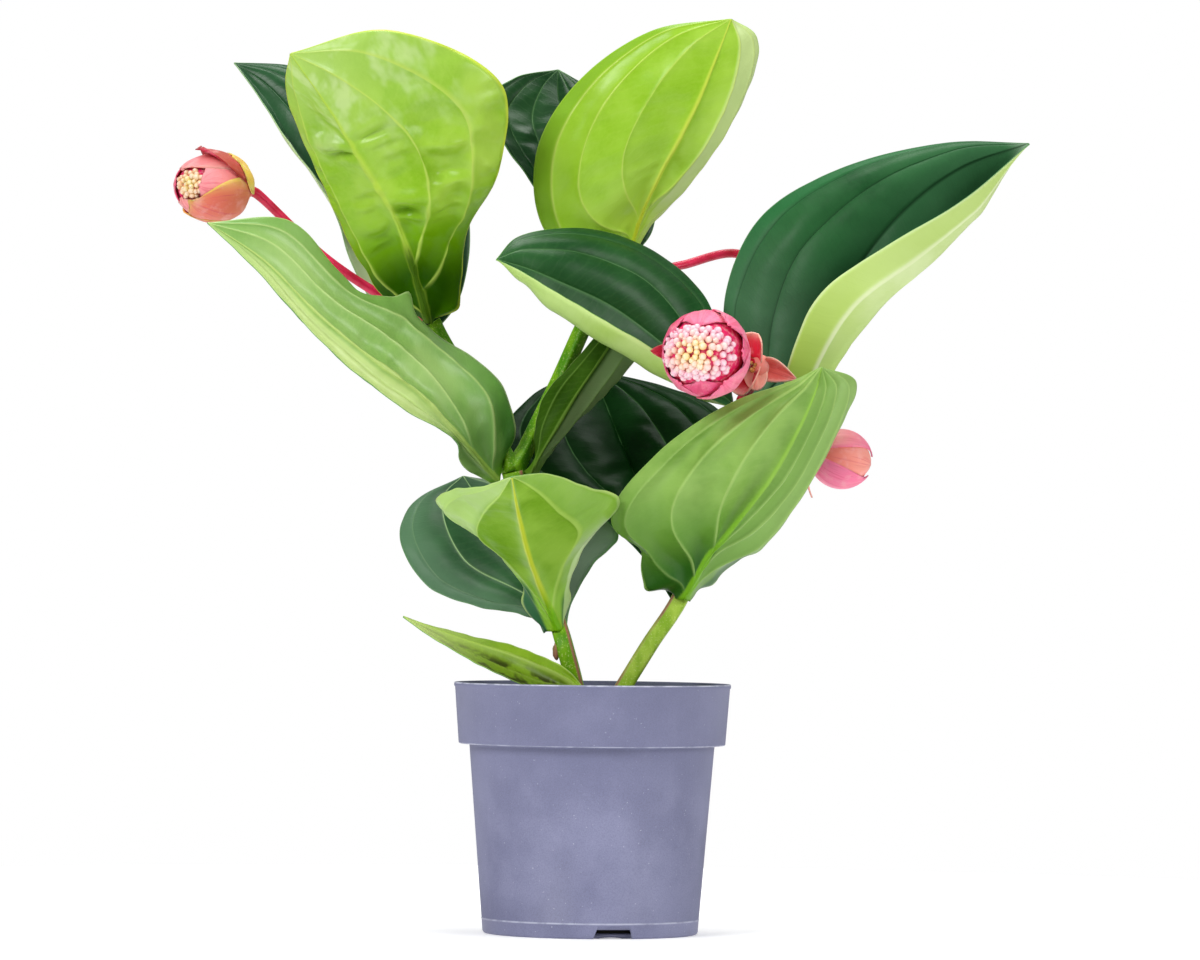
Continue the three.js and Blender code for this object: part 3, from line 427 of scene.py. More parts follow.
# Guide curves in millimetres, from the leaf's base: the rib, then the left and the right margin
# without their last point, which is the rib's, then how far each half bulges along its length.
LEAVES = {
    "rim_low": (
        [[-6, -11, 147], [-19, -20, 157], [-36, -27, 165], [-54, -32, 172], [-76, -38, 179],
         [-97, -42, 187], [-117, -44, 195]],
        [[-4, -12, 150], [-14, -17, 162], [-30, -15, 171], [-51, -14, 178], [-76, -22, 184],
         [-97, -34, 189]],
        [[-7, -12, 142], [-20, -28, 145], [-35, -46, 151], [-54, -55, 159], [-74, -60, 169],
         [-96, -55, 181]],
        [0, 2, 3, 3, 2, 1, 0], [0, 1, 2, 2, 1, 0, 0]),
    "left_low_front": (
        [[-22, -7, 188], [-28, -14, 203], [-35, -26, 220], [-41, -42, 237], [-45, -62, 254],
         [-48, -88, 268], [-50, -116, 281]],
        [[-17, -5, 190], [-16, -8, 214], [-6, -14, 238], [15, -36, 269], [-3, -62, 275],
         [-27, -92, 283]],
        [[-34, -6, 186], [-44, -9, 216], [-63, -18, 241], [-97, -44, 266], [-86, -66, 273],
         [-65, -92, 276]],
        [0, -2, -4, -6, -4, -2, 0], [0, -2, -4, -6, -4, -2, 0]),
    "left_low_back": (
        [[-24, 6, 192], [-35, 16, 206], [-46, 28, 224], [-57, 42, 240], [-66, 60, 256],
         [-76, 82, 272], [-84, 104, 284]],
        [[-31, 4, 185], [-46, 12, 197], [-72, 24, 201], [-104, 40, 214], [-122, 58, 242],
         [-116, 80, 265]],
        [[-17, 4, 185], [-14, 12, 203], [-1, 24, 227], [15, 38, 246], [3, 62, 263], [-38, 86, 276]],
        [0, 2, 5, 6, 5, 2, 0], [0, 1, 3, 4, 3, 1, 0]),
    "left_mid_left": (
        [[-61, -8, 280], [-71, -20, 292], [-86, -36, 309], [-107, -52, 331], [-135, -64, 351],
         [-168, -76, 377], [-203, -86, 411], [-237, -92, 433]],
        [[-58, -5, 285], [-50, -2, 315], [-64, 2, 346], [-103, -12, 373], [-124, -30, 391],
         [-156, -50, 405], [-188, -72, 436]],
        [[-65, -10, 278], [-82, -24, 289], [-86, -38, 304], [-119, -62, 323], [-148, -78, 345],
         [-186, -90, 382], [-216, -94, 414]],
        [0, -2, -5, -5, -4, -3, -2, 0], [0, 1, 2, 3, 3, 2, 1, 0]),
    "left_mid_right": (
        [[-41, -4, 283], [-34, -10, 296], [-24, -10, 313], [-13, -6, 332], [1, 0, 353],
         [15, 6, 375], [28, 12, 396]],
        [[-36, 2, 282], [-30, 8, 294], [-18, 12, 311], [-2, 14, 327], [16, 16, 345], [31, 14, 371]],
        [[-46, -2, 284], [-37, 0, 293], [-38, 2, 311], [-32, 4, 332], [-13, 12, 356],
         [10, 14, 380]],
        [0, -1, -3, -3, -2, -1, 0], [0, -1, -2, -2, -1, -1, 0]),
    "left_top_front": (
        [[-103, -4, 378], [-111, -16, 401], [-118, -26, 424], [-127, -40, 446], [-143, -52, 472],
         [-163, -60, 503], [-189, -60, 539]],
        [[-101, 2, 377], [-87, 8, 391], [-82, -6, 430], [-61, -32, 472], [-60, -56, 522],
         [-128, -68, 553]],
        [[-107, 1, 378], [-127, -1, 388], [-148, -8, 414], [-163, -18, 447], [-179, -32, 480],
         [-192, -50, 520]],
        [0, -4, -9, -13, -12, -6, 0], [0, -2, -4, -6, -5, -2, 0]),
    "left_top_back": (
        [[-105, 14, 376], [-118, 22, 402], [-137, 28, 435], [-161, 34, 471], [-187, 46, 504],
         [-210, 60, 529], [-231, 70, 543]],
        [[-108, 12, 373], [-133, 22, 382], [-154, 26, 416], [-166, 20, 452], [-190, 26, 485],
         [-213, 50, 519]],
        [[-100, 12, 372], [-86, 16, 392], [-80, 26, 442], [-99, 45, 494], [-135, 62, 529],
         [-192, 70, 541]],
        [0, -3, -6, -8, -8, -3, 0], [0, 2, 5, 8, 7, 3, 0]),
    "centre_top_front": (
        [[18, 21, 421], [27, 8, 451], [38, -4, 473], [50, -12, 494], [62, -18, 518], [73, -22, 545],
         [81, -25, 566]],
        [[22, 25, 418], [33, 24, 440], [56, 18, 464], [77, 10, 495], [95, 0, 530], [97, -12, 556]],
        [[14, 24, 418], [-14, 14, 417], [-36, 6, 442], [-38, -2, 485], [-15, -10, 525],
         [31, -18, 558]],
        [0, -2, -5, -7, -6, -4, 0], [0, -5, -10, -13, -12, -6, 0]),
    "centre_top_back": (
        [[17, 35, 422], [6, 38, 443], [-6, 44, 466], [-17, 50, 489], [-23, 62, 510], [-26, 76, 528],
         [-26, 85, 542]],
        [[14, 32, 419], [-14, 36, 419], [-39, 32, 462], [-60, 38, 493], [-73, 58, 518],
         [-53, 76, 536]],
        [[22, 32, 421], [34, 38, 437], [36, 44, 464], [26, 50, 496], [8, 64, 522], [-11, 78, 533]],
        [0, -3, -6, -8, -6, -2, 0], [0, 2, 4, 5, 4, 2, 0]),
    "right_low_front": (
        [[56, -7, 209], [69, -24, 235], [89, -42, 258], [108, -56, 284], [125, -70, 316],
         [133, -77, 335], [137, -80, 350]],
        [[62, -3, 207], [77, 4, 222], [106, 6, 241], [131, -10, 277], [153, -34, 319],
         [159, -55, 342]],
        [[48, -4, 209], [34, -14, 219], [10, -26, 256], [37, -48, 296], [83, -68, 328],
         [121, -76, 342]],
        [0, -3, -5, -6, -5, -3, 0], [0, -3, -8, -12, -10, -4, 0]),
    "right_low_back": (
        [[54, 8, 209], [46, 18, 231], [36, 38, 256], [25, 62, 285], [13, 86, 314], [4, 108, 336],
         [-5, 124, 353]],
        [[49, 6, 206], [30, 14, 234], [-3, 28, 263], [-41, 48, 281], [-59, 72, 308],
         [-40, 100, 336]],
        [[60, 8, 206], [71, 14, 226], [94, 28, 261], [97, 50, 302], [73, 78, 330], [41, 102, 343]],
        [0, 2, 5, 7, 6, 3, 0], [0, 2, 5, 7, 6, 3, 0]),
    "right_mid_left": (
        [[85, 6, 329], [64, -8, 346], [39, -18, 367], [9, -28, 388], [-20, -36, 401],
         [-43, -42, 410], [-62, -46, 415]],
        [[84, 0, 326], [67, -34, 334], [40, -50, 357], [8, -60, 376], [-21, -62, 392],
         [-44, -56, 406]],
        [[85, 14, 333], [80, 16, 363], [67, 18, 396], [36, 6, 423], [-5, -10, 436],
         [-48, -30, 430]],
        [0, -8, -15, -17, -14, -7, 0], [0, 2, 5, 7, 6, 3, 0]),
    "right_mid_right": (
        [[95, 8, 327], [111, 12, 342], [132, 16, 367], [156, 18, 406], [187, 18, 448],
         [227, 18, 479], [269, 18, 494]],
        [[93, 16, 332], [82, 34, 360], [81, 38, 401], [102, 36, 447], [152, 36, 478],
         [215, 30, 494]],
        [[95, 2, 323], [112, -20, 331], [119, -26, 355], [136, -28, 395], [177, -22, 426],
         [228, -4, 458]],
        [0, 3, 8, 11, 9, 5, 0], [0, -14, -26, -33, -33, -29, 0]),
}
MM = 0.001
TIP_SHARE = 0.998
ROW_CROWDING = 1.25
STRIP_COLUMNS, RIM_COLUMNS = 11, 7
FULL_STRIP = 0.018
WAVES, RIPPLES = 3.5, 11
# Heights and widths in millimetres: the quilting of an inner and of the outermost strip between
# veins, the grooves over a side vein and over the rib, half the blade and how much less its rim is,
# and the width of the thinner rim.
QUILT, RIM_QUILT = 1.9, 0.5
GROOVE, RIB_GROOVE = 0.9, 0.4
HALF_BLADE, RIM_THINNING, RIM_WIDTH = 0.5, 0.27, 1.3
# How a blade is shaped, unless its entry says otherwise: how strong the quilting is, how high, how
# many and how far along the folds across it are, the height of its waves and of its lumps, the
# height, number and reach of the frills at its base, the rib's size there, the margin strips that
# are folded over, and the lobes of its margin as (hand, place, reach, share of the width).
PLAIN_LOOK = {
    "pillow": 1.0, "wrinkled": 0.4, "wrinkles": 12, "wrinkled_at": 0.5, "waves": 0.8, "uneven": 0.5,
    "frill": (0, 1, 1), "rib_height": 2.4, "rib_half_width": 3.0, "folds": (), "lobes": ()}
# Each side vein: where it leaves the rib and where it has spread out, as shares of the leaf's
# length, how much of the way to the margin it then runs, and how strong it is.
WIDE = [(0.16, 0.55, 0.36, 1), (0.06, 0.42, 0.68, 0.9), (0, 0.28, 0.9, 0.45)]
PAIR = [(0.1, 0.5, 0.48, 1), (0.02, 0.32, 0.84, 0.6)]
LOOP = [(0.05, 0.5, 0.5, 1), (0, 0.3, 0.88, 0.4)]
LONE = [(0.06, 0.4, 0.52, 0.7)]


def along(values, s):
    """A value that follows a short list of numbers smoothly as s goes from 0 to 1."""
    values = np.array(values, float)
    place = s * (len(values) - 1)
    i = np.minimum(place.astype(int), len(values) - 2)
    w = place - i
    w = w * w * (3 - 2 * w)
    return values[i] * (1 - w) + values[i + 1] * w


def puckers(s, t, part, look):
    """Irregular folds across the blade, in patches, along one line of points."""
    folds = []
    for place in s:
        patch = noise.noise(Vector((place * 6, t * 2.5 + part, look["seed"])))
        spot = Vector((place * look["wrinkles"] + t * 2 + patch, t * 2 + 5 * part, look["seed"]))
        folds.append(1.8 * noise.noise(spot) * min(1, max(0, 0.5 + 2 * patch)))
    return look["wrinkled"] * np.array(folds) * np.exp(-((s - look["wrinkled_at"]) / 0.24) ** 2)


def faded(s):
    """1 in the middle of a leaf's length and 0 at its ends."""
    return np.sin(np.pi * np.minimum(1, s + 0.02))


def unit(vectors):
    return vectors / np.linalg.norm(vectors, axis=1)[:, None]


def half_leaf(rib, margin, belly, forward, s, hand, veins, look):
    """Half a blade, as arrays of column by row: its points, the share of the way out, the distance
    out in metres, and the distance to the rib and to each vein."""
    chord = margin - rib
    width = np.linalg.norm(chord, axis=1)
    left = hand == "left"
    normal = unit(np.cross(forward, chord) if left else np.cross(chord, forward))
    lobed = np.zeros_like(s)
    for side, spot, reach, far in look["lobes"]:
        if side == hand:
            lobed = lobed + far * np.exp(-((s - spot) / reach) ** 2)
    knots = [np.zeros_like(s)]
    for start, spread, share, _ in veins:
        ramp = 1 - (1 - np.clip((s - start) / (spread - start), 0, 1)) ** 2
        knots.append(share * (0.06 + 0.94 * ramp))
    knots.append(np.ones_like(s))
    shares, lifts = [], []
    for k, (low, high) in enumerate(zip(knots, knots[1:])):
        last = k == len(knots) - 2
        count = RIM_COLUMNS if last else STRIP_COLUMNS
        quilt = (RIM_QUILT if last else QUILT) * look["pillow"]
        room = np.minimum(1, (high - low) * width / FULL_STRIP)
        inner, outer = -GROOVE if k else -RIB_GROOVE, 0 if last else -GROOVE
        for i in range(1 if k else 0, count + 1):
            f = i / count if last else 0.5 - 0.5 * math.cos(math.pi * i / count)
            t = low + (high - low) * f
            arch = (quilt + puckers(s, t.mean(), k + 9 * left, look)) * math.sin(math.pi * f) * room
            grooves = (inner * (1 - f) ** 2 + outer * f**2) * room
            wave = look["waves"] * t**3 * np.sin(2 * np.pi * WAVES * s)
            ripple = 2 * np.pi * RIPPLES * s + 1 + look["seed"]
            wave = wave + 0.5 * look["waves"] * t**8 * np.sin(ripple)
            height, lobes, reach = look["frill"]
            frill = np.clip(1 - s / reach, 0, 1) * np.clip(s * 25, 0, 1)
            frill = frill * height * t**3 * np.sin(2 * np.pi * lobes * s / reach)
            raised = (arch + grooves + wave) * faded(s)
            shares.append(t)
            lifts.append(along(belly, s) * 4 * t * (1 - t) + raised + frill)
    shares, lifts = np.array(shares), np.array(lifts)
    spread = shares * (1 + lobed * shares**4)
    points = rib + chord * spread[:, :, None] + normal * (lifts * MM)[:, :, None]
    away = shares * width
    lines = np.array([abs(away - knot * width) for knot in knots[:-1]])
    return points, shares, away, lines


def leaf(name, left_veins=WIDE, right_veins=WIDE, rows=104, seed=0, **changed):
    """A closed blade with its upper face as material 0 and its under face as material 1."""
    look = {**PLAIN_LOOK, "seed": seed, **changed}
    guide, left_margin, right_margin, left_belly, right_belly = LEAVES[name]
    s = TIP_SHARE * (1 - (1 - np.linspace(0, 1, rows + 1)) ** ROW_CROWDING)
    rib = curve_through(guide, s)
    forward = unit(curve_through(guide, s + 1e-3) - curve_through(guide, s - 1e-3))
    halves = []
    for hand, margin, belly, veins in (("left", left_margin, left_belly, left_veins),
                                       ("right", right_margin, right_belly, right_veins)):
        margin = curve_through(margin + guide[-1:], s)
        halves.append(half_leaf(rib, margin, belly, forward, s, hand, veins, look))
    middle = len(halves[0][0]) - 1
    points, shares, away = (np.concatenate([sign * left[:0:-1], right])
                            for sign, left, right in zip((1, -1, -1), *halves))
    up = unit(np.cross(points[middle + 1] - points[middle - 1], forward))
    fade = faded(s)
    points[middle] = rib - up * (0.6 * MM * fade)[:, None]
    run = np.concatenate([[0], np.cumsum(np.linalg.norm(np.diff(rib, axis=0), axis=1))])
    wide = len(points) - 1

    thin, raised, veined, spine, folded = (np.zeros_like(shares) for _ in range(5))
    broad = (look["rib_half_width"] * (1 - s) ** 1.5 + 0.7) * MM
    ribbed = (look["rib_height"] * (1 - s) + 0.4) * np.exp(-(away / broad) ** 2)
    for half, veins, part in ((halves[0], left_veins, slice(middle, None, -1)),
                              (halves[1], right_veins, slice(middle, None))):
        for number, line in enumerate(half[3]):
            start, _, _, strong = veins[number - 1] if number else (-1, 0, 0, 1)
            live = strong * np.clip((s - start) / 0.07, 0, 1)
            mark = np.clip(1 - line / ((0.85 - 0.35 * s) * MM), 0, 1) * live
            thin[part] = np.maximum(thin[part], mark)
            if number:
                high = 0.6 * live * (1.2 - 0.6 * s) * np.exp(-(line / 0.0006) ** 2)
                raised[part] = np.maximum(raised[part], high)
                veined[part] = np.maximum(veined[part], mark)
            else:
                spine[part] = np.maximum(spine[part], np.clip(1.25 - line / (0.62 * broad), 0, 1))
    for hand, start, full, share in look["folds"]:
        strip = share * np.clip((s - start) / (full - start), 0, 1)
        part = slice(None, middle + 1) if hand == "left" else slice(middle, None)
        inside = np.clip(0.5 + (strip - 1 + abs(shares[part])) / 0.04, 0, 1) * (strip > 0)
        folded[part] = np.maximum(folded[part], inside)

    form = bmesh.new()
    layers = {key: form.verts.layers.float.new(key) for key in
              ("vein", "spine", "edge", "across", "along", "fold")}
    uv = form.loops.layers.uv.new("blade")
    bmesh.ops.create_grid(form, x_segments=wide, y_segments=rows, size=0.5)
    places = {v: (round((v.co.x + 0.5) * wide), round((v.co.y + 0.5) * rows)) for v in form.verts}
    half_width = abs(away[[0, -1]])
    for vertex, (i, j) in places.items():
        vertex[layers["across"]] = shares[i][j]
        vertex[layers["along"]] = s[j]
        vertex[layers["fold"]] = folded[i][j]
        to_rim = half_width[int(i > middle)][j] - abs(away[i][j])
        vertex[layers["edge"]] = max(0, 1 - to_rim / (RIM_WIDTH * MM))
        vertex.co = points[i][j]
    for face in form.faces:
        for loop in face.loops:
            i, j = places[loop.vert]
            loop[uv].uv = away[i][j], run[j]
    form.normal_update()
    if sum(face.normal.dot(Vector(up[places[face.verts[0]][1]])) for face in form.faces) < 0:
        bmesh.ops.reverse_faces(form, faces=form.faces[:])
        form.normal_update()
    normals = {v: v.normal.copy() for v in form.verts}
    rim = [e for e in form.edges if e.is_boundary]
    copied = bmesh.ops.duplicate(form, geom=form.verts[:] + form.edges[:] + form.faces[:])
    below = copied["vert_map"]
    under_faces = [f for f in copied["geom"] if isinstance(f, bmesh.types.BMFace)]
    bmesh.ops.reverse_faces(form, faces=under_faces)
    for face in under_faces:
        face.material_index = 1
    for vertex, (i, j) in places.items():
        bumps = noise.noise(Vector((away[i][j] * 55 + seed, run[j] * 40, seed)))
        bumps += 0.4 * noise.noise(Vector((away[i][j] * 150, run[j] * 150 + seed, seed)))
        lumps = look["uneven"] * bumps * min(1, (1 - abs(shares[i][j])) * 4 + 0.3) * fade[j]
        thick = HALF_BLADE - RIM_THINNING * vertex[layers["edge"]]
        normal, twin = normals[vertex], below[vertex]
        twin.co = vertex.co + normal * ((lumps - thick - raised[i][j]) * MM)
        twin.co -= Vector(up[j]) * (ribbed[i][j] * MM)
        vertex.co = vertex.co + normal * ((lumps + thick - 0.16 * thin[i][j]) * MM)
        vertex[layers["vein"]] = thin[i][j]
        twin[layers["vein"]] = veined[i][j]
        twin[layers["spine"]] = spine[i][j]
    lower_rim = [e for e in form.edges if e.is_boundary and e not in rim]
    bmesh.ops.bridge_loops(form, edges=rim + lower_rim)
    return form


def leaf_face(name, tones, roughness, gloss=0.0, lines=0.5, zones=(), over=(), spine=None,
              shine=0.35, grain=0.5, index=1.45, polish=0.3, threaded=0.04, dull_to=0):
    """Leaf skin. The tones are two that mix in clouds, that of the side veins and that of the rim,
    and spine is the rib's. Each zone is (what it follows, where it starts, where it is full, tone,
    strength), with a second thing to follow after that or none; the zones lie under the veins, and
    the ones in over lie on them. polish is how rough the coat is, and up to dull_to of the length
    there is hardly any coat."""
    material, tree = finish_named(name, roughness, Specular_IOR_Level=shine, IOR=index,
                                  Coat_Weight=gloss, Coat_Roughness=polish)
    tone, light, line, edge = map(paint, tones.split())
    place = node(tree, "TexCoord").outputs["Object"]
    blade = node(tree, "UVMap", uv_map="blade").outputs["UV"]
    follow = {key: node(tree, "Attribute", attribute_name=key).outputs["Fac"]
              for key in ("vein", "spine", "edge", "across", "along", "fold")}
    follow["blotch"] = noise_at(tree, blade, 45, 3, 0.6)

    def zoned(colour, parts):
        for key, start, full, patch, strength, *also in parts:
            share = eased(tree, follow[key], start, full, 0, strength)
            if also:
                share = times(tree, share, eased(tree, follow[also[0]], also[1], also[2]))
            colour = mixed(tree, share, colour, paint(patch))
        return colour

    clouds = noise_at(tree, place, 20, 3, 0.55)
    colour = mixed(tree, eased(tree, clouds, 0.34, 0.66), tone, light)
    fine = noise_at(tree, blade, 380, 3, 0.65)
    colour = mixed(tree, eased(tree, fine, 0.3, 0.7, 0, 0.4 * grain), colour, light)
    skew = node(tree, "Mapping", {"Vector": blade, "Rotation": (0, 0, 0.35)}).outputs[0]
    cross = node(tree, "TexWave", {"Vector": skew, "Scale": 60.0, "Distortion": 5.0, "Detail": 2.0,
                                   "Detail Scale": 1.5}, bands_direction="Y").outputs["Fac"]
    threads = eased(tree, cross, 0.8, 1.0)
    colour = mixed(tree, times(tree, threads, threaded), colour, line)
    colour = zoned(colour, zones)
    colour = mixed(tree, times(tree, eased(tree, follow["vein"], 0, 0.9), lines), colour, line)
    spine = paint(spine) if spine else line
    colour = mixed(tree, eased(tree, follow["spine"], 0.05, 0.8, 0, 0.75), colour, spine)
    colour = zoned(colour, over)
    colour = mixed(tree, eased(tree, follow["edge"], 0.35, 0.9, 0, 0.8), colour, edge)
    rough = eased(tree, noise_at(tree, place, 45, 3), 0.3, 0.7, roughness - 0.05, roughness + 0.07)
    cells = node(tree, "TexVoronoi", {"Vector": blade, "Scale": 900.0}, feature="F1").outputs[0]
    bump = relief(tree, cells, 0.00006, 0.35)
    bump = relief(tree, noise_at(tree, blade, 110, 3, 0.55), 0.0006, 0.4 * grain, bump)
    bump = relief(tree, threads, 0.0001, 0.3, bump)
    if dull_to:
        coat = eased(tree, follow["along"], 0.7 * dull_to, 1.4 * dull_to, 0.1 * gloss, gloss)
        linked(material, Coat_Weight=coat)
    return linked(material, Base_Color=colour, Roughness=rough, Normal=bump)


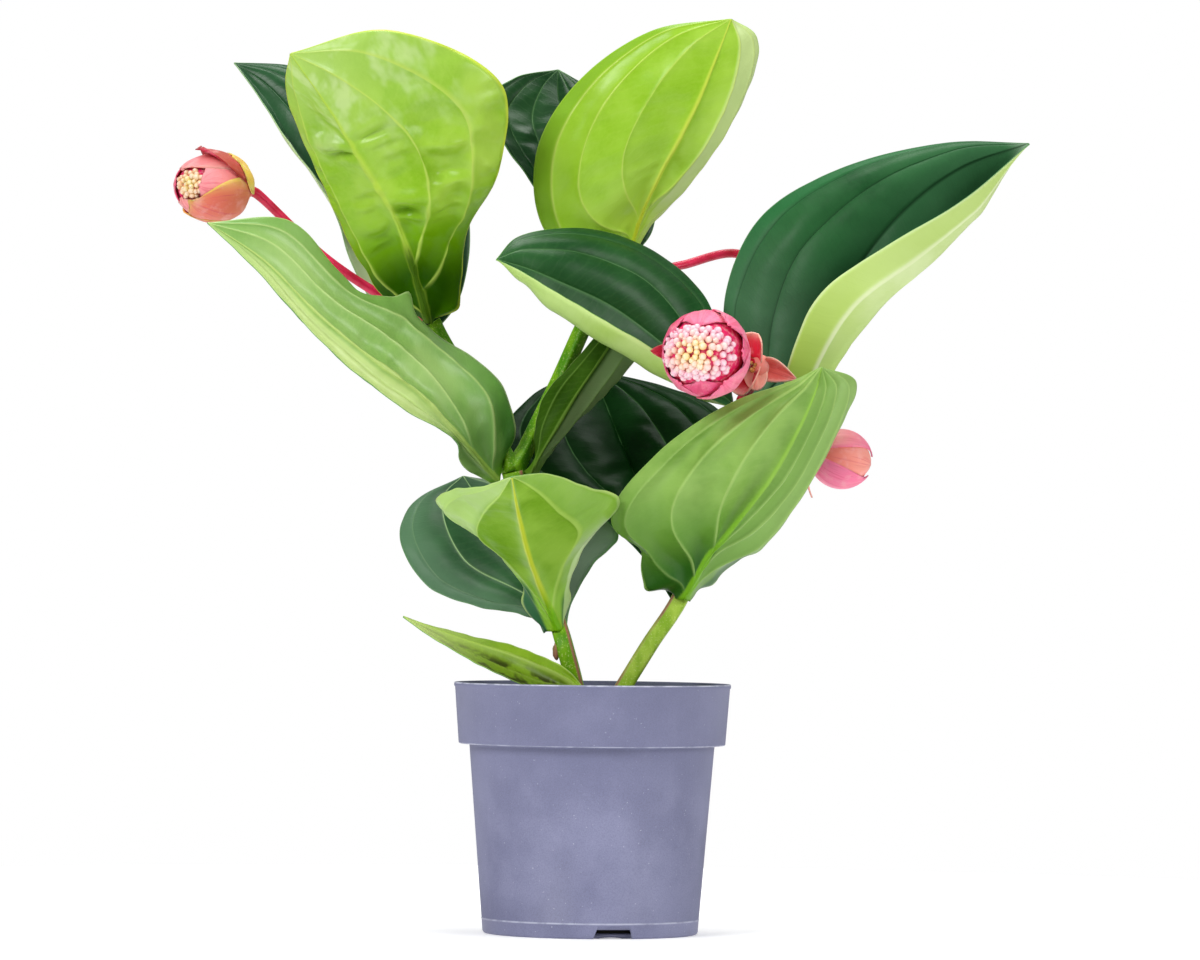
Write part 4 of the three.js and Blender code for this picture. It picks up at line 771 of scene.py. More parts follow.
upper_green = leaf_face("leaf_upper", "184c22 2c6230 5c8e58 6ea650", 0.38, 0.08, shine=0.22)
under_green = leaf_face("leaf_under", "80ae4a 9ec464 b4d278 aacd78", 0.42, 0.05)
LEAF_LOOKS = {
    "rim_low": (
        upper_green,
        leaf_face("leaf_under_blotched", "628a12 86aa28 a6c454 b0ca64", 0.4, 0.12, 0.4, [
            ("across", 0.1, 0.4, "6a881a", 0.7),
            ("across", 0.0, 0.3, "282a0c", 0.92, "blotch", 0.45, 0.54),
            ("along", 0.5, 0.95, "bcd07c", 0.85), ("along", 0.22, 0.05, "8cb60e", 0.85)],
            shine=0.22),
        {"left_veins": LONE, "right_veins": LONE, "waves": 0.4}),
    "left_low_front": (
        upper_green,
        leaf_face("leaf_under_folded_tip", "6a9a16 92bc42 acce60 bed882", 0.38, 0.2, 0.75, [
            ("across", 0.46, 0.6, "a8ca70", 0.75), ("across", -0.46, -0.6, "80ac3c", 0.6),
            ("along", 0.32, 0.14, "90c438", 0.85),
            ("across", 0.42, 0.66, "1c5c3e", 0.95, "along", 0.24, 0.17),
            ("across", -0.4, -0.7, "226034", 0.9, "along", 0.2, 0.12),
            ("fold", 0.2, 0.8, "b8d68a", 0.85)], [
            ("spine", 0.1, 0.6, "70b20e", 0.95, "along", 0.34, 0.1)], spine="ccd434", shine=0.22),
        {"left_veins": [(0.1, 0.5, 0.5, 1)], "right_veins": LOOP, "frill": (1.5, 1.5, 0.25),
         "rib_half_width": 4.6, "wrinkled": 1.4, "wrinkles": 18, "uneven": 1.0,
         "lobes": [("right", 0.08, 0.045, 0.45), ("left", 0.1, 0.05, 0.3),
                   ("left", 0.44, 0.03, 0.08), ("right", 0, 0.03, -0.7), ("left", 0, 0.03, -0.6)],
         "folds": [("left", 0.52, 0.3, 0.3)]}),
    "left_low_back": (
        leaf_face("leaf_upper_light_veined", "14421c 2e5e32 a8cc8c 64965a", 0.46, 0.04, 0.75, [
            ("across", -0.45, -0.9, "648868", 0.6), ("across", 0.3, 0.7, "7a8e78", 0.65)],
            shine=0.2, threaded=0.012),
        under_green,
        {"left_veins": [(0.1, 0.5, 0.48, 1), (0.02, 0.32, 0.84, 0.25)], "right_veins": LONE,
         "pillow": 0.8, "wrinkled": 0.5, "lobes": [("left", 0.07, 0.05, -0.35)]}),
    "left_mid_left": (
        upper_green,
        # The darkening towards the base is painted shade.
        leaf_face("leaf_under_grey_green", "84b056 aacc7a c0d888 bad88c", 0.38, 0.3, 0.55, [
            ("across", 0.02, 0.14, "d0e494", 0.8), ("along", 0.72, 0.98, "7caa52", 0.55),
            ("across", -0.45, -0.8, "689c42", 0.55), ("along", 0.46, 0.2, "508c30", 0.75),
            ("across", -0.45, -0.75, "346c22", 0.8, "along", 0.3, 0.14),
            ("along", 0.1, 0.0, "68a01a", 0.8)], [
            ("spine", 0.1, 0.6, "98c446", 0.8, "along", 0.4, 0.1)], spine="bed478", shine=0.22),
        {"left_veins": [(0.2, 0.66, 0.36, 0.9), (0.05, 0.42, 0.7, 0.9)], "right_veins": LONE,
         "pillow": 2.4, "wrinkled": 1.6, "wrinkles": 22, "uneven": 1.6, "frill": (2.5, 2, 0.3),
         "lobes": [("left", 0.535, 0.03, 0.2), ("left", 0.65, 0.05, -0.14)]}),
    "left_mid_right": (
        upper_green,
        # The under face's dark olive is partly painted shade, lighter on the less shaded half of
        # the fold.
        leaf_face("leaf_under_shaded_olive", "224202 36580e 749842 8cb054", 0.5, 0, 0.5, [
            ("across", -0.02, -0.2, "84a06a", 0.9), ("along", 0.25, 0.05, "58821e", 0.8)],
            spine="608030", shine=0.05),
        {"left_veins": LONE, "right_veins": LONE, "rib_half_width": 1.8, "rib_height": 1.6}),
    "left_top_front": (
        upper_green,
        # The under face's bright yellow-green is partly painted light shining through the leaf. The
        # pale patchy zone in its upper part is painted highlights, and the darkening towards the
        # base and along the rib's base is painted shade.
        leaf_face("leaf_under_young_painted_backlight", "84b41e a6cc4a bed660 cede46", 0.36, 0.42, 0.65, [
            ("along", 0.6, 0.95, "aed070", 0.6),
            ("along", 0.55, 0.85, "cee2a4", 0.5, "blotch", 0.46, 0.66),
            ("along", 0.54, 0.36, "6ea200", 0.9), ("along", 0.43, 0.2, "204a00", 0.96),
            ("across", -0.5, -0.85, "548a06", 0.6, "along", 0.34, 0.1)], [
            ("spine", 0.1, 0.7, "2e5402", 0.92, "along", 0.38, 0.26)], spine="b0ce46", shine=0.02,
            index=1.33, polish=0.24, dull_to=0.35),
        {"right_veins": [(0.02, 0.3, 0.75, 0.8)], "rows": 180, "pillow": 2.2, "wrinkled": 6,
         "wrinkles": 28, "wrinkled_at": 0.64, "uneven": 2.8, "frill": (3, 2, 0.35),
         "rib_half_width": 6, "lobes": [("left", 0.12, 0.06, 0.1), ("right", 0.3, 0.04, -0.06),
                                       ("left", 0, 0.03, -0.5), ("right", 0, 0.03, -0.4)],
         "left_veins": [(0.24, 0.6, 0.34, 1), (0.14, 0.45, 0.7, 0.8)]}),
    "left_top_back": (
        leaf_face("leaf_upper_dark", "163e20 285430 426e44 96be82", 0.32, 0.06, 0.4, [
            ("fold", 0.2, 0.8, "bed49e", 0.9)], shine=0.2),
        leaf_face("leaf_under_pale_strip", "b6ce8e c8daa6 aac882 cedeaa", 0.46),
        {"left_veins": LONE, "uneven": 0.8, "wrinkled": 0.8, "folds": [("left", 0.78, 0.45, 0.6)]}),
    "centre_top_front": (
        upper_green,
        # The under face's bright yellow-green is partly painted light shining through the leaf, and
        # the lighter base is a painted pool of light.
        leaf_face("leaf_under_bright", "8abc1c a8d248 c8dc68 a0cc3c", 0.38, 0.25, 0.55, [
            ("across", 0.84, 0.9, "609a0e", 0.8), ("across", 0.62, 0.68, "92be28", 0.5),
            ("across", -0.42, -0.5, "cee498", 0.9), ("along", 0.34, 0.1, "b2da3c", 0.8)], [
            ("spine", 0.1, 0.7, "c8d828", 0.85, "along", 0.4, 0.1)], spine="cada4c", shine=0.2,
            polish=0.24),
        {"pillow": 0.9,
         "right_veins": [(0.12, 0.5, 0.36, 0.8), (0.05, 0.42, 0.66, 0.8), (0, 0.3, 0.86, 0.8)],
         "left_veins": PAIR, "wrinkled": 0.5, "wrinkles": 20, "uneven": 1.2, "rib_half_width": 4}),
    "centre_top_back": (
        leaf_face("leaf_upper_quilted", "0e3214 224a24 608a54 6ea05a", 0.3, 0.05, 0.5, shine=0.14),
        leaf_face("leaf_under_dull", "aac47c bed296 a0be6e c8d8a0", 0.46),
        {"wrinkled": 2.2, "wrinkles": 14, "uneven": 0.9}),
    "right_low_front": (
        upper_green,
        # The darkening towards the base and at the base of one margin is painted shade, there
        # partly the dark upper face of the curled margin.
        leaf_face("leaf_under_soft_green", "6c963a 8eb458 a8c870 96be64", 0.42, 0.12, 0.45, [
            ("across", -0.2, -0.7, "b4ce8a", 0.75), ("along", 0.46, 0.28, "4e8022", 0.7),
            ("along", 0.3, 0.14, "1e540e", 0.92), ("across", -0.05, -0.2, "7ca64a", 0.7),
            ("across", -0.6, -0.8, "285c22", 0.85, "along", 0.32, 0.24)], [
            ("spine", 0.1, 0.6, "6ea814", 0.95, "along", 0.5, 0.15)], spine="8cba42", shine=0.2),
        {"right_veins": [(0.2, 0.85, 0.4, 1), (0.07, 0.6, 0.66, 0.9), (0, 0.35, 0.88, 0.5)],
         "left_veins": [(0.2, 0.7, 0.2, 0.7), (0.12, 0.6, 0.44, 0.9), (0.02, 0.4, 0.75, 0.7)],
         "pillow": 3.2, "wrinkled": 0.9, "wrinkles": 18, "waves": 0.5, "uneven": 0.8,
         "frill": (3.5, 2, 0.36), "rib_half_width": 6.4, "rib_height": 3.2,
         "lobes": [("right", 0.25, 0.04, -0.16), ("right", 0.13, 0.05, 0.16),
                   ("left", 0.27, 0.03, -0.1), ("right", 0, 0.03, -0.5), ("left", 0, 0.03, -0.4)]}),
    "right_low_back": (
        # Its near-black green is partly painted shade.
        leaf_face("leaf_upper_old_and_shaded", "062408 0c320e 46743e 3c6e32", 0.34, 0.03, 0.6, shine=0.1,
                  index=1.25, threaded=0.0),
        under_green,
        {"left_veins": PAIR, "wrinkled": 1.8, "wrinkles": 16, "uneven": 1.0}),
    "right_mid_left": (
        leaf_face("leaf_upper_sheen", "14461a 285a2a 64965a 6ea646", 0.4, 0.08, 0.5, shine=0.22),
        leaf_face("leaf_under_pale", "acce62 c2de86 9ec664 c4dc8c", 0.44),
        {"left_veins": LONE, "right_veins": PAIR, "wrinkled": 0.2, "waves": 0.25}),
    "right_mid_right": (
        # The dark lines along its sunk veins are painted shade in their grooves.
        leaf_face("leaf_upper_deep", "0e421c 245a2e 082a12 60965a", 0.5, 0.04, 0.6, [
            ("across", -0.8, -0.9, "246c38", 0.7), ("across", -0.4, 0.05, "2c5c38", 0.5),
            ("along", 0.6, 0.9, "3e7048", 0.4), ("along", 0.56, 0.3, "547e5c", 0.55),
            ("along", 0.94, 1.0, "829e82", 0.8)], shine=0.14, grain=0.9),
        # The palest under face is partly painted light shining through the leaf.
        leaf_face("leaf_under_palest", "c8de92 daeab0 e4f0be cee4a0", 0.44, 0.05, 0.8, [
            ("across", 0.81, 0.86, "b8d470", 0.8), ("along", 0.66, 0.3, "a2c644", 0.8)],
            shine=0.25),
        {"left_veins": PAIR, "right_veins": [(0, 0.2, 0.82, 1)], "wrinkled": 0.3, "wrinkles": 20,
         "pillow": 1.2, "waves": 0.2, "uneven": 0.9}),
}
for number, (name, (upper_face, under_face, look)) in enumerate(LEAF_LOOKS.items()):
    form = leaf(name, seed=number * 3.7, **look)
    settle(piece(f"blade_{name}", form, upper_face, under_face), f"leaf_{name}")


# ---------------------------------------------------------------------------------------------
# Flower stalks: smooth crimson rods that grow from the leaf nodes and hang over under the weight of
# the heads. They are a little angular, with a painted highlight along the ridge on the lit side.
STALKS = {
    "left": [[-105, 8, 381], [-122, 9, 388], [-139, 6, 397], [-169, -4, 417]],
    "right": [[90, 8, 331], [97, -16, 341], [98, -40, 352]],
    "far_right": [[20, 29, 417], [33, 38, 413], [53, 50, 417], [88, 58, 425], [118, 62, 408],
                  [126, 60, 368], [114, 50, 325]],
}
# The heads: the middle of each ball, how far its stalk runs in straight, where its mouth points,
# its radius, and how much longer than that it is towards its back.
HEADS = {
    "left": {"centre": (-244, -43, 458), "run_in": 3, "mouth": (-0.74, -0.63, 0.04), "radius": 16,
             "stretch": 1.02},
    "right": {"centre": (66, -92, 357), "run_in": 12, "mouth": (-0.2, -0.97, -0.02), "radius": 26,
              "stretch": 0},
    "far_right": {"centre": (155, 40, 296), "run_in": 12, "mouth": (0.95, 0.22, -0.2),
                  "radius": 17, "stretch": 0.15},
}
STALK_RADIUS = 0.0028
RECEPTACLE_LENGTH = 6


def head_radius(head, polar):
    """From a head's centre to its skin, in millimetres; polar 0 is at its back."""
    return head["radius"] * (1 + head["stretch"] * ((1 + math.cos(polar)) / 2) ** 3)


def stalk_skin(name, red, bright_red, brown):
    material, tree = finish_named(name, 0.34, Specular_IOR_Level=0.25, Coat_Weight=0.12,
                                  Coat_Roughness=0.3)
    place = node(tree, "TexCoord").outputs["Object"]
    corners = node(tree, "Attribute", attribute_name="ridge").outputs["Fac"]
    colour = mixed(tree, eased(tree, noise_at(tree, place, 60, 3), 0.35, 0.65), red, bright_red)
    # Painted highlight: brighter red along the corner that faces the front.
    colour = mixed(tree, eased(tree, corners, 0.1, 0.8, 0, 0.5), colour, bright_red)
    dots = noise_at(tree, place, 700, 2, 0.6)
    colour = mixed(tree, eased(tree, dots, 0.6, 0.74, 0, 0.45), colour, brown)
    return linked(material, Base_Color=colour, Normal=relief(tree, dots, 0.00015, 0.5))


crimson = stalk_skin("crimson_stalk", paint("b80e26"), paint("e42854"), paint("882c22"))
for name, start in STALKS.items():
    head = HEADS[name]
    axis = np.array(head["mouth"]) / np.linalg.norm(head["mouth"])
    end = head_radius(head, 0) + RECEPTACLE_LENGTH + 0.35
    behind = [list(np.array(head["centre"]) - axis * (end + back)) for back in (head["run_in"], 0)]
    form = bmesh.new()

    def stalk_reach(turn, share):
        foot, neck = ((share - 0.03) * 30) ** 2, ((share - 1) * 14) ** 2
        swell = 0.16 * math.exp(-foot) + 0.14 * math.exp(-neck)
        return STALK_RADIUS * (0.97 + 0.05 * math.cos(4 * turn) + swell)

    rod(form, start + behind, stalk_reach, 20, 0.002)
    settle(piece(f"stalk_{name}_red", form, crimson), f"stalk_{name}")


# ---------------------------------------------------------------------------------------------
# Flower heads: thin pink bracts that overlap round a ball, each grown to the swollen end of its
# stalk. The left and right heads are open at the mouth, and the far right one is still closed.
BRACT_THICKNESS = 0.8
BRACT_COLUMNS = 16
BRACT_ROOT = 14
pink, rose, magenta = paint("fa789c"), paint("e43874"), paint("e21a5c")
coral, salmon = paint("f26c62"), paint("e28054")
yellow, brick = paint("f0c64c"), paint("b04026")
lime, peach, blush = paint("d6ce4e"), paint("fca696"), paint("ff9ca0")
rust = paint("962412")
# A bract: the turn of its middle about the head's axis, its half width and how far round from the
# back its tip reaches, in degrees, how far out it lies, how far its tip stands off, how pointed it
# is, and the colours of its root, tip and edge.
BRACTS = {
    "left": [
        (305, 72, 130, 1, 0, 0, coral, blush, blush), (130, 76, 168, 1, 0, 0, pink, blush, rose),
        (42, 62, 149, 1.02, 0, 0, coral, blush, peach),
        (222, 66, 150, 1.02, 0, 0, salmon, blush, peach),
        (22, 70, 113, 1.08, 0.4, 1, brick, brick, rust),
        (10, 72, 58, 1.13, 0, 0, yellow, yellow, lime),
        (252, 80, 138, 1.07, 0.02, 0.6, salmon, coral, lime),
        (190, 50, 104, 1.08, 0.02, 0, salmon, coral, yellow)],
    "right": [
        (350, 44, 114, 1, 0.03, 0, rose, rose, pink), (78, 50, 141, 1, -0.05, 0, rose, pink, pink),
        (176, 46, 118, 1, -0.03, 0, rose, rose, pink),
        (262, 50, 141, 1, -0.05, 0, rose, rose, pink),
        (34, 42, 121, 1.035, 0.02, 0, rose, pink, pink),
        (128, 42, 128, 1.02, -0.04, 0, rose, rose, pink),
        (222, 44, 124, 1.02, -0.03, 0, rose, pink, pink),
        (300, 60, 126, 1.055, 0.02, 0, rose, pink, pink),
        (166, 16, 106, 1.1, 0.14, 1, rose, salmon, brick)],
    "far_right": [
        (40, 60, 173, 1, 0, 0, rose, pink, rose), (160, 60, 174, 1, 0, 0, rose, pink, rose),
        (280, 60, 174, 1.02, 0, 0.2, coral, peach, coral),
        (220, 48, 160, 1.06, 0.01, 0.7, peach, pink, pink),
        (346, 52, 156, 1.06, 0.02, 0.5, pink, pink, pink),
        (100, 50, 152, 1.05, 0.02, 0.6, rose, rose, rose)],
}
# The dry bract that hangs from a head's back: direction, length, half width and bend.
SPURS = {"far_right": ((-0.6, 0, -1), 24, 2.4, 16)}


def skin_point(head, polar, turn, layer):
    """A point of a head in its own frame, mouth towards +Z, in millimetres."""
    reach = head_radius(head, polar) * layer
    out = reach * math.sin(polar)
    return Vector((out * math.cos(turn), out * math.sin(turn), -reach * math.cos(polar)))


def thick_sheet(form, across, ahead, point_at, colour_at):
    """A closed sheet: point_at(u, v) and colour_at(u, v, side), u from -1 to 1, v from 0 to 1, and
    side 1 for the face that the sheet's normals point to and -1 for the other."""
    tint = form.verts.layers.float_color.get("tint") or form.verts.layers.float_color.new("tint")
    uv = form.loops.layers.uv.get("bract") or form.loops.layers.uv.new("bract")
    grid = bmesh.ops.create_grid(form, x_segments=across, y_segments=ahead, size=0.5)["verts"]
    faces = list(dict.fromkeys(f for v in grid for f in v.link_faces))
    for face in faces:
        for loop in face.loops:
            loop[uv].uv = loop.vert.co.x + 0.5, loop.vert.co.y + 0.5
    linings = {}
    for vertex in grid:
        u, v = 2 * vertex.co.x, vertex.co.y + 0.5
        vertex[tint] = colour_at(u, v, 1)
        linings[vertex] = colour_at(u, v, -1)
        vertex.co = point_at(u, v)
    for face in faces:
        face.normal_update()
    for vertex in grid:
        vertex.normal_update()
    edges = list(dict.fromkeys(e for f in faces for e in f.edges))
    rims = [e for e in edges if e.is_boundary]
    copied = bmesh.ops.duplicate(form, geom=grid + edges + faces)
    for vertex in grid:
        shift = vertex.normal * BRACT_THICKNESS / 2
        copied["vert_map"][vertex].co = vertex.co - shift
        copied["vert_map"][vertex][tint] = linings[vertex]
        vertex.co = vertex.co + shift
    inner = [f for f in copied["geom"] if isinstance(f, bmesh.types.BMFace)]
    bmesh.ops.reverse_faces(form, faces=inner)
    rims += [e for e in dict.fromkeys(e for f in inner for e in f.edges) if e.is_boundary]
    bmesh.ops.bridge_loops(form, edges=rims)


def spur(form, root, direction, length, half_width, bend, tones, facing=(0, -1, 0), cup=0.45,
         blunt=0.0):
    """A cupped bract that stands away from its root, hollow towards facing. tones are its root,
    tip, edge and hollow."""
    out = Vector(direction).normalized()
    side = out.cross(Vector(facing)).normalized()
    face = side.cross(out)

    def point_at(u, v):
        v = 0.2 + 0.79 * v
        pointed = math.sin(math.pi * v**0.7)
        rounded = math.sqrt(1 - (2 * v - 1) ** 4)
        width = half_width * (pointed + (rounded - pointed) * blunt) + 0.4
        cupped = bend * v * v + cup * width * u * u + 0.5 * math.exp(-(u * 6) ** 2)
        return root + out * (length * v) + side * (u * width) + face * cupped

    def colour_at(u, v, facing_out):
        tone = Vector(tones[0]).lerp(Vector(tones[1]), v)
        if facing_out > 0:
            tone = tone.lerp(Vector(tones[3]), 0.97 * (1 - v**9))
        return tone.lerp(Vector(tones[2]), max(abs(u) ** 6, v**8))

    thick_sheet(form, 12, 14, point_at, colour_at)


def set_in_place(form, head):
    """Turns a head from its own frame to where it hangs."""
    turned = Vector((0, 0, 1)).rotation_difference(Vector(head["mouth"]).normalized())
    bmesh.ops.rotate(form, verts=form.verts, cent=(0, 0, 0), matrix=turned.to_matrix())
    bmesh.ops.translate(form, verts=form.verts, vec=head["centre"])


def bract_skin(name, inside):
    """Petal-like tissue whose own tints are in the tint attribute, veined lengthwise."""
    material, tree = finish_named(
        name, 0.45, Specular_IOR_Level=0.3, Sheen_Weight=0.1, Subsurface_Weight=0.25,
        Subsurface_Radius=(1, 0.35, 0.45), Subsurface_Scale=0.003)
    place = node(tree, "TexCoord").outputs["Object"]
    length = node(tree, "UVMap", uv_map="bract").outputs["UV"]
    tint = node(tree, "Attribute", attribute_name="tint").outputs["Color"]
    drawn = node(tree, "Mapping", {"Vector": length, "Scale": (1, 0.08, 1)}).outputs[0]
    fibres = noise_at(tree, drawn, 22, 3, 0.55)
    colour = mixed(tree, eased(tree, fibres, 0.52, 0.66, 0, 0.4), tint, inside)
    clouds = noise_at(tree, place, 130, 3, 0.6)
    colour = mixed(tree, eased(tree, clouds, 0.48, 0.72, 0, 0.28), colour, paint("ffc4c4"))
    bump = relief(tree, clouds, 0.0005, 0.4, relief(tree, fibres, 0.0006, 0.5))
    return linked(material, Base_Color=colour, Normal=bump)


def head_form(name, creases):
    """All bracts of a head and its receptacle in one form."""
    form = bmesh.new()
    head = HEADS[name]
    for number, (turn, half, reach, layer, lift, pointed, *tones) in enumerate(BRACTS[name]):
        root, tip, edge = (Vector(tone) for tone in tones)

        def point_at(u, v):
            rounded = (1 - (0.985 * v) ** 4) ** 0.5
            narrowing = rounded * (1 - pointed) + pointed * (1 - (0.99 * v) ** 2) ** 0.9
            angle = math.radians(turn + half * narrowing * u)
            ragged = 0.03 * math.sin(9 * u + 2 * number) * v**5
            polar = math.radians(BRACT_ROOT + (reach - BRACT_ROOT) * v) - 0.16 * u * u * v + ragged
            fold = creases * math.cos(2 * math.pi * 1.6 * u + number) * math.sin(math.pi * v)
            keel = 0.014 * math.exp(-(u * 7) ** 2) + 0.02 * v**8
            out = 1 + (layer - 1) * math.sin(math.pi / 2 * min(1, 2 * v + 0.3))
            return skin_point(head, polar, angle, out - 0.01 * u * u + lift * v**3 + fold + keel)

        def colour_at(u, v, side):
            rim = max(abs(u) ** 6, v**8) * 0.8
            tone = root.lerp(tip, min(1, v * 1.2))
            return (tone if side > 0 else tone.lerp(Vector(magenta), 0.9)).lerp(edge, rim)

        thick_sheet(form, BRACT_COLUMNS, BRACT_COLUMNS, point_at, colour_at)
    back = -head_radius(head, 0)
    wide = head["radius"] * 0.42
    foot = back - RECEPTACLE_LENGTH
    cone = [(0, foot), (3.4, foot), (4.2, back - 4.6), (wide, back), (wide, back + 3.5),
            (0, back + 3.5)]
    tint = form.verts.layers.float_color["tint"]
    for vertex in spun(form, cone, 24, merge=1e-5):
        vertex[tint] = Vector(coral)
    set_in_place(form, head)
    if name in SPURS:
        behind = Vector(head["mouth"]).normalized() * (head_radius(head, 0) + 2)
        spur(form, Vector(head["centre"]) - behind, *SPURS[name], (salmon, peach, peach, salmon),
             facing=(1, 0, 0))
    bmesh.ops.scale(form, verts=form.verts, vec=(MM, MM, MM))
    return form


petal = bract_skin("pink_bract_skin", paint("d83860"))
for name, creases in (("left", 0.008), ("right", 0.006), ("far_right", 0.022)):
    settle(piece(f"head_{name}", head_form(name, creases), petal), f"bracts_{name}")


# ---------------------------------------------------------------------------------------------
# Buds: round waxy flower buds packed in a dome inside each open head, cream in the middle and
# pinker towards the bracts. They sit so close on the head's core that no flower stalks show.
HEAD_UP = math.radians(78)


def bud_dome(head, count, spread, size, sunk, swell, centre, outer, squash, aside, seed):
    """count buds of that size over the spread round the mouth, an angle. sunk is how deep the core
    lies under the bracts, swell how much the dome rises in its middle, centre and outer are the
    tones of the buds there, squash how much narrower the dome is upwards, and aside how far it is
    pushed to the left of the head's axis, in degrees."""
    form = bmesh.new()
    tint = form.verts.layers.float_color.new("tint")
    core = head["radius"] - sunk
    ball = bmesh.ops.create_uvsphere(form, u_segments=28, v_segments=18, radius=core)["verts"]
    for vertex in ball:
        vertex[tint] = Vector(paint("ec2c6e"))
    chance = random.Random(seed)
    golden = math.pi * (3 - math.sqrt(5))
    for k in range(count):
        share = math.sqrt((k + 0.5) / count)
        turn = golden * k + chance.uniform(-0.1, 0.1)
        narrow = 1 - squash * math.cos(turn - HEAD_UP) ** 2
        polar = math.pi - spread * share * narrow
        radius = size * chance.uniform(0.84, 1.14)
        bud = bmesh.ops.create_icosphere(form, subdivisions=2, radius=radius)["verts"]
        reach = core - 0.3 + swell * (1 - share**2) + chance.uniform(-0.5, 0.7)
        ripe = min(1, max(0, share * 1.7 - 0.25 + chance.uniform(-0.25, 0.2)))
        tone = Vector(paint(centre)).lerp(Vector(paint(outer)), ripe)
        for vertex in bud:
            up = vertex.co.z / radius
            vertex[tint] = tone.lerp(Vector((1, 0.92, 0.9, 1)), max(0, up) ** 4 * 0.5)
            vertex.co.z += 0.12 * radius * max(0, up) ** 3
        spot = skin_point(head, polar, turn, reach / head["radius"])
        matrix = Vector((0, 0, 1)).rotation_difference(spot).to_matrix()
        bmesh.ops.rotate(form, verts=bud, cent=(0, 0, 0), matrix=matrix)
        bmesh.ops.translate(form, verts=bud, vec=spot)
    set_in_place(form, head)
    pushed = Matrix.Rotation(math.radians(-aside), 3, "Z")
    bmesh.ops.rotate(form, verts=form.verts, cent=head["centre"], matrix=pushed)
    bmesh.ops.scale(form, verts=form.verts, vec=(MM, MM, MM))
    return form


waxy, tree = finish_named(
    "waxy_bud", 0.36, Specular_IOR_Level=0.4, Coat_Weight=0.15, Subsurface_Weight=0.25,
    Subsurface_Radius=(1, 0.5, 0.45), Subsurface_Scale=0.002)
tint = node(tree, "Attribute", attribute_name="tint").outputs["Color"]
place = node(tree, "TexCoord").outputs["Object"]
freckles = noise_at(tree, place, 420, 3)
colour = mixed(tree, eased(tree, freckles, 0.45, 0.7, 0, 0.35), tint, paint("ffecde"))
linked(waxy, Base_Color=colour, Normal=relief(tree, freckles, 0.0003, 0.4))
form = bud_dome(HEADS["left"], 30, 0.64, 1.95, 1.9, 0.6, "ecd670", "eeba84", 0, -23, 3)
settle(piece("buds_left_cream", form, waxy), "buds_left")
form = bud_dome(HEADS["right"], 112, 1.12, 2.3, 2.3, 1.6, "fada8c", "fab8cc", 0.36, 5, 4)
settle(piece("buds_right_pink", form, waxy), "buds_right")


# ---------------------------------------------------------------------------------------------
# Open tier: four small coral bracts in a collar round the right stalk, just behind its head. The
# upper and the lower one are hollow like spoons, and small dry buds sit in the middle.
TIER_CENTRE = Vector((98, -40, 352))
DRY_BUDS = 11
scarlet, warm_coral, apricot = paint("de0838"), paint("ff8674"), paint("ffbaa4")
SPOON = {"facing": (-0.55, -0.82, 0.1), "cup": 0.8}
# A tier bract: direction, length, half width, bend, the four tones and the shape of its hollow.
TIER_BRACTS = [
    ((0.14, -0.3, 1), 21, 8.5, 4, (warm_coral, apricot, apricot, scarlet), {"blunt": 1, **SPOON}),
    ((0.95, -0.35, -0.33), 27, 7, -3, (warm_coral, warm_coral, apricot, coral), {}),
    ((-0.3, -0.4, -1), 24, 9, 4, (warm_coral, apricot, apricot, scarlet), {"blunt": 0.9, **SPOON}),
    ((0, -0.5, -1), 20, 7, 4, (warm_coral, apricot, apricot, apricot), {"blunt": 0.5, "cup": 0.2}),
]
form = bmesh.new()
for direction, length, half_width, bend, tones, shape in TIER_BRACTS:
    spur(form, TIER_CENTRE, direction, length, half_width, bend, tones, **shape)
tint = form.verts.layers.float_color["tint"]
collar = bmesh.ops.create_uvsphere(form, u_segments=24, v_segments=14, radius=5.4)["verts"]
bmesh.ops.scale(form, verts=collar, vec=(1.25, 1, 1.55))
for vertex in collar:
    vertex.co += TIER_CENTRE + Vector((3, 0, -2))
    vertex[tint] = Vector(peach).lerp(Vector(coral), 0.3)
dry = random.Random(8)
for _ in range(DRY_BUDS):
    grain = bmesh.ops.create_icosphere(form, subdivisions=2, radius=dry.uniform(0.8, 1.5))["verts"]
    spot = TIER_CENTRE + Vector((dry.uniform(-5, 0), -5 - dry.uniform(0, 0.6), dry.uniform(-4, 2)))
    tone = dry.choice((paint("d69646"), paint("e8b260"), paint("783c22")))
    for vertex in grain:
        vertex.co += spot
        vertex[tint] = Vector(tone)
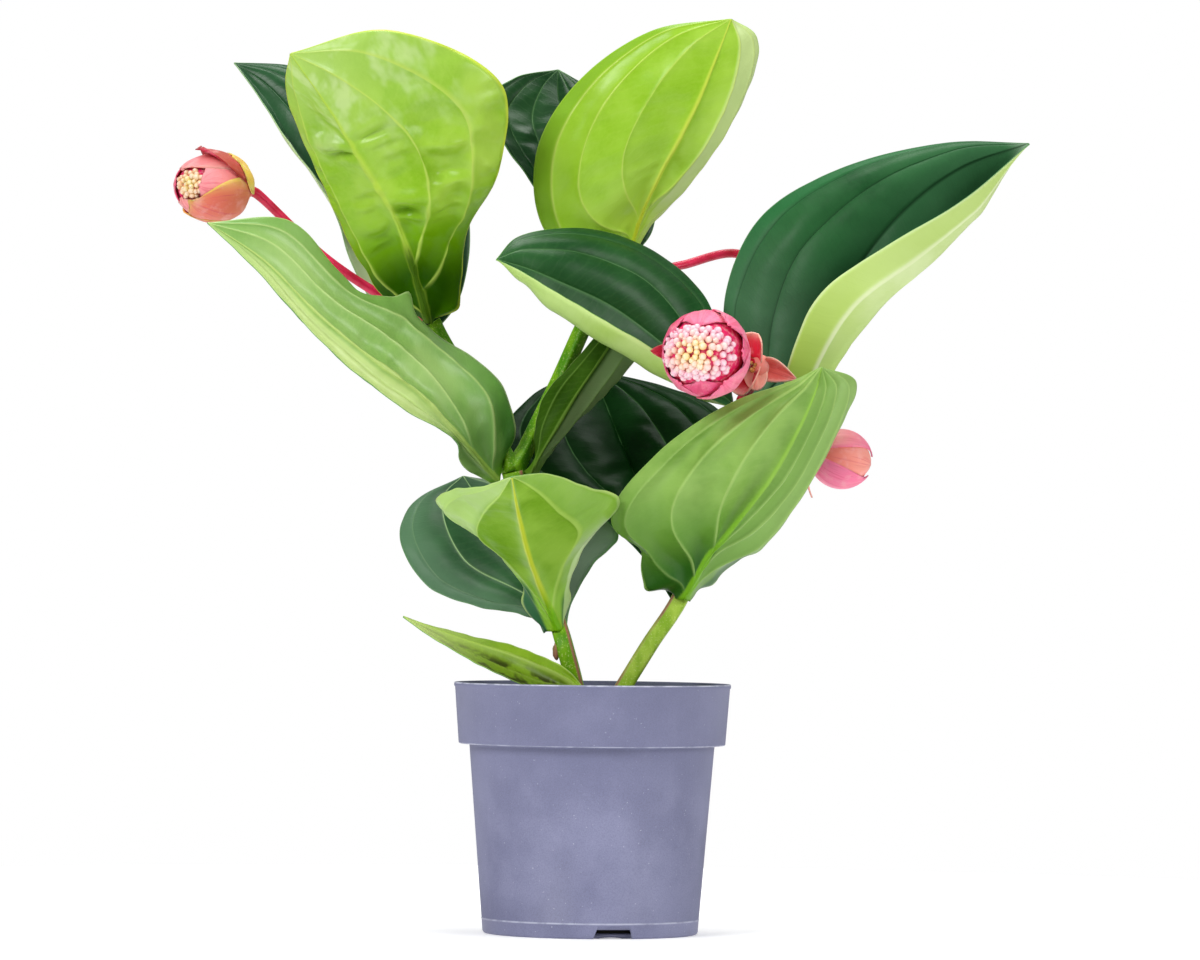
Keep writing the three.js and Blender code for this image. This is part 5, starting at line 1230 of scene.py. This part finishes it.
bmesh.ops.scale(form, verts=form.verts, vec=(MM, MM, MM))
settle(piece("open_tier", form, petal), "bracts_tier")


# ---------------------------------------------------------------------------------------------
# The room: a pale floor, soft white light from all round with three large soft boxes, and the
# camera level with the plant, four metres in front of it.
AMBIENT = 0.27
form = bmesh.new()
bmesh.ops.create_circle(form, cap_ends=True, segments=96, radius=0.9)
pale_floor, _ = finish_named("pale_floor", 0.8, Base_Color=(0.93, 0.93, 0.93, 1),
                             Specular_IOR_Level=0.2, Emission_Color=(1, 1, 1, 1),
                             Emission_Strength=0.3)
floor = piece("floor", form, pale_floor)

world = bpy.data.worlds.new("studio")
world.use_nodes = True
tree = world.node_tree
seen = node(tree, "LightPath").outputs["Is Camera Ray"]
tree.nodes["Background"].inputs["Color"].default_value = (1, 1, 1, 1)
tree.links.new(node(tree, "MapRange", {0: seen, 3: AMBIENT, 4: 1.0}).outputs[0],
               tree.nodes["Background"].inputs["Strength"])
bpy.context.scene.world = world
bpy.context.scene.view_settings.view_transform = "Standard"

for name, spot, size, power in (("left_box", (-1.8, -2.2, 1.9), 1.3, 67),
                                ("right_box", (2.2, -1.7, 1.3), 1.1, 33),
                                ("top_box", (0.1, 0.3, 2.4), 1.4, 38)):
    lamp = bpy.data.lights.new(name, "AREA")
    lamp.shape, lamp.size, lamp.energy = "SQUARE", size, power
    light = bpy.data.objects.new(name, lamp)
    light.location = spot
    light.rotation_euler = (Vector((0, 0, 0.3)) - Vector(spot)).to_track_quat("-Z", "Y").to_euler()
    bpy.context.scene.collection.objects.link(light)

lens = bpy.data.cameras.new("camera")
lens.lens = 193.55
lens.sensor_width = 36
lens.clip_start, lens.clip_end = 0.1, 60
camera = bpy.data.objects.new("camera", lens)
tilt = Matrix.Rotation(math.radians(90.8), 4, "X") @ Matrix.Rotation(math.radians(0.62), 4, "Z")
camera.matrix_world = Matrix.Translation((0.0032, -4, 0.225)) @ tilt
bpy.context.scene.collection.objects.link(camera)
bpy.context.scene.camera = camera

bpy.context.view_layer.update()
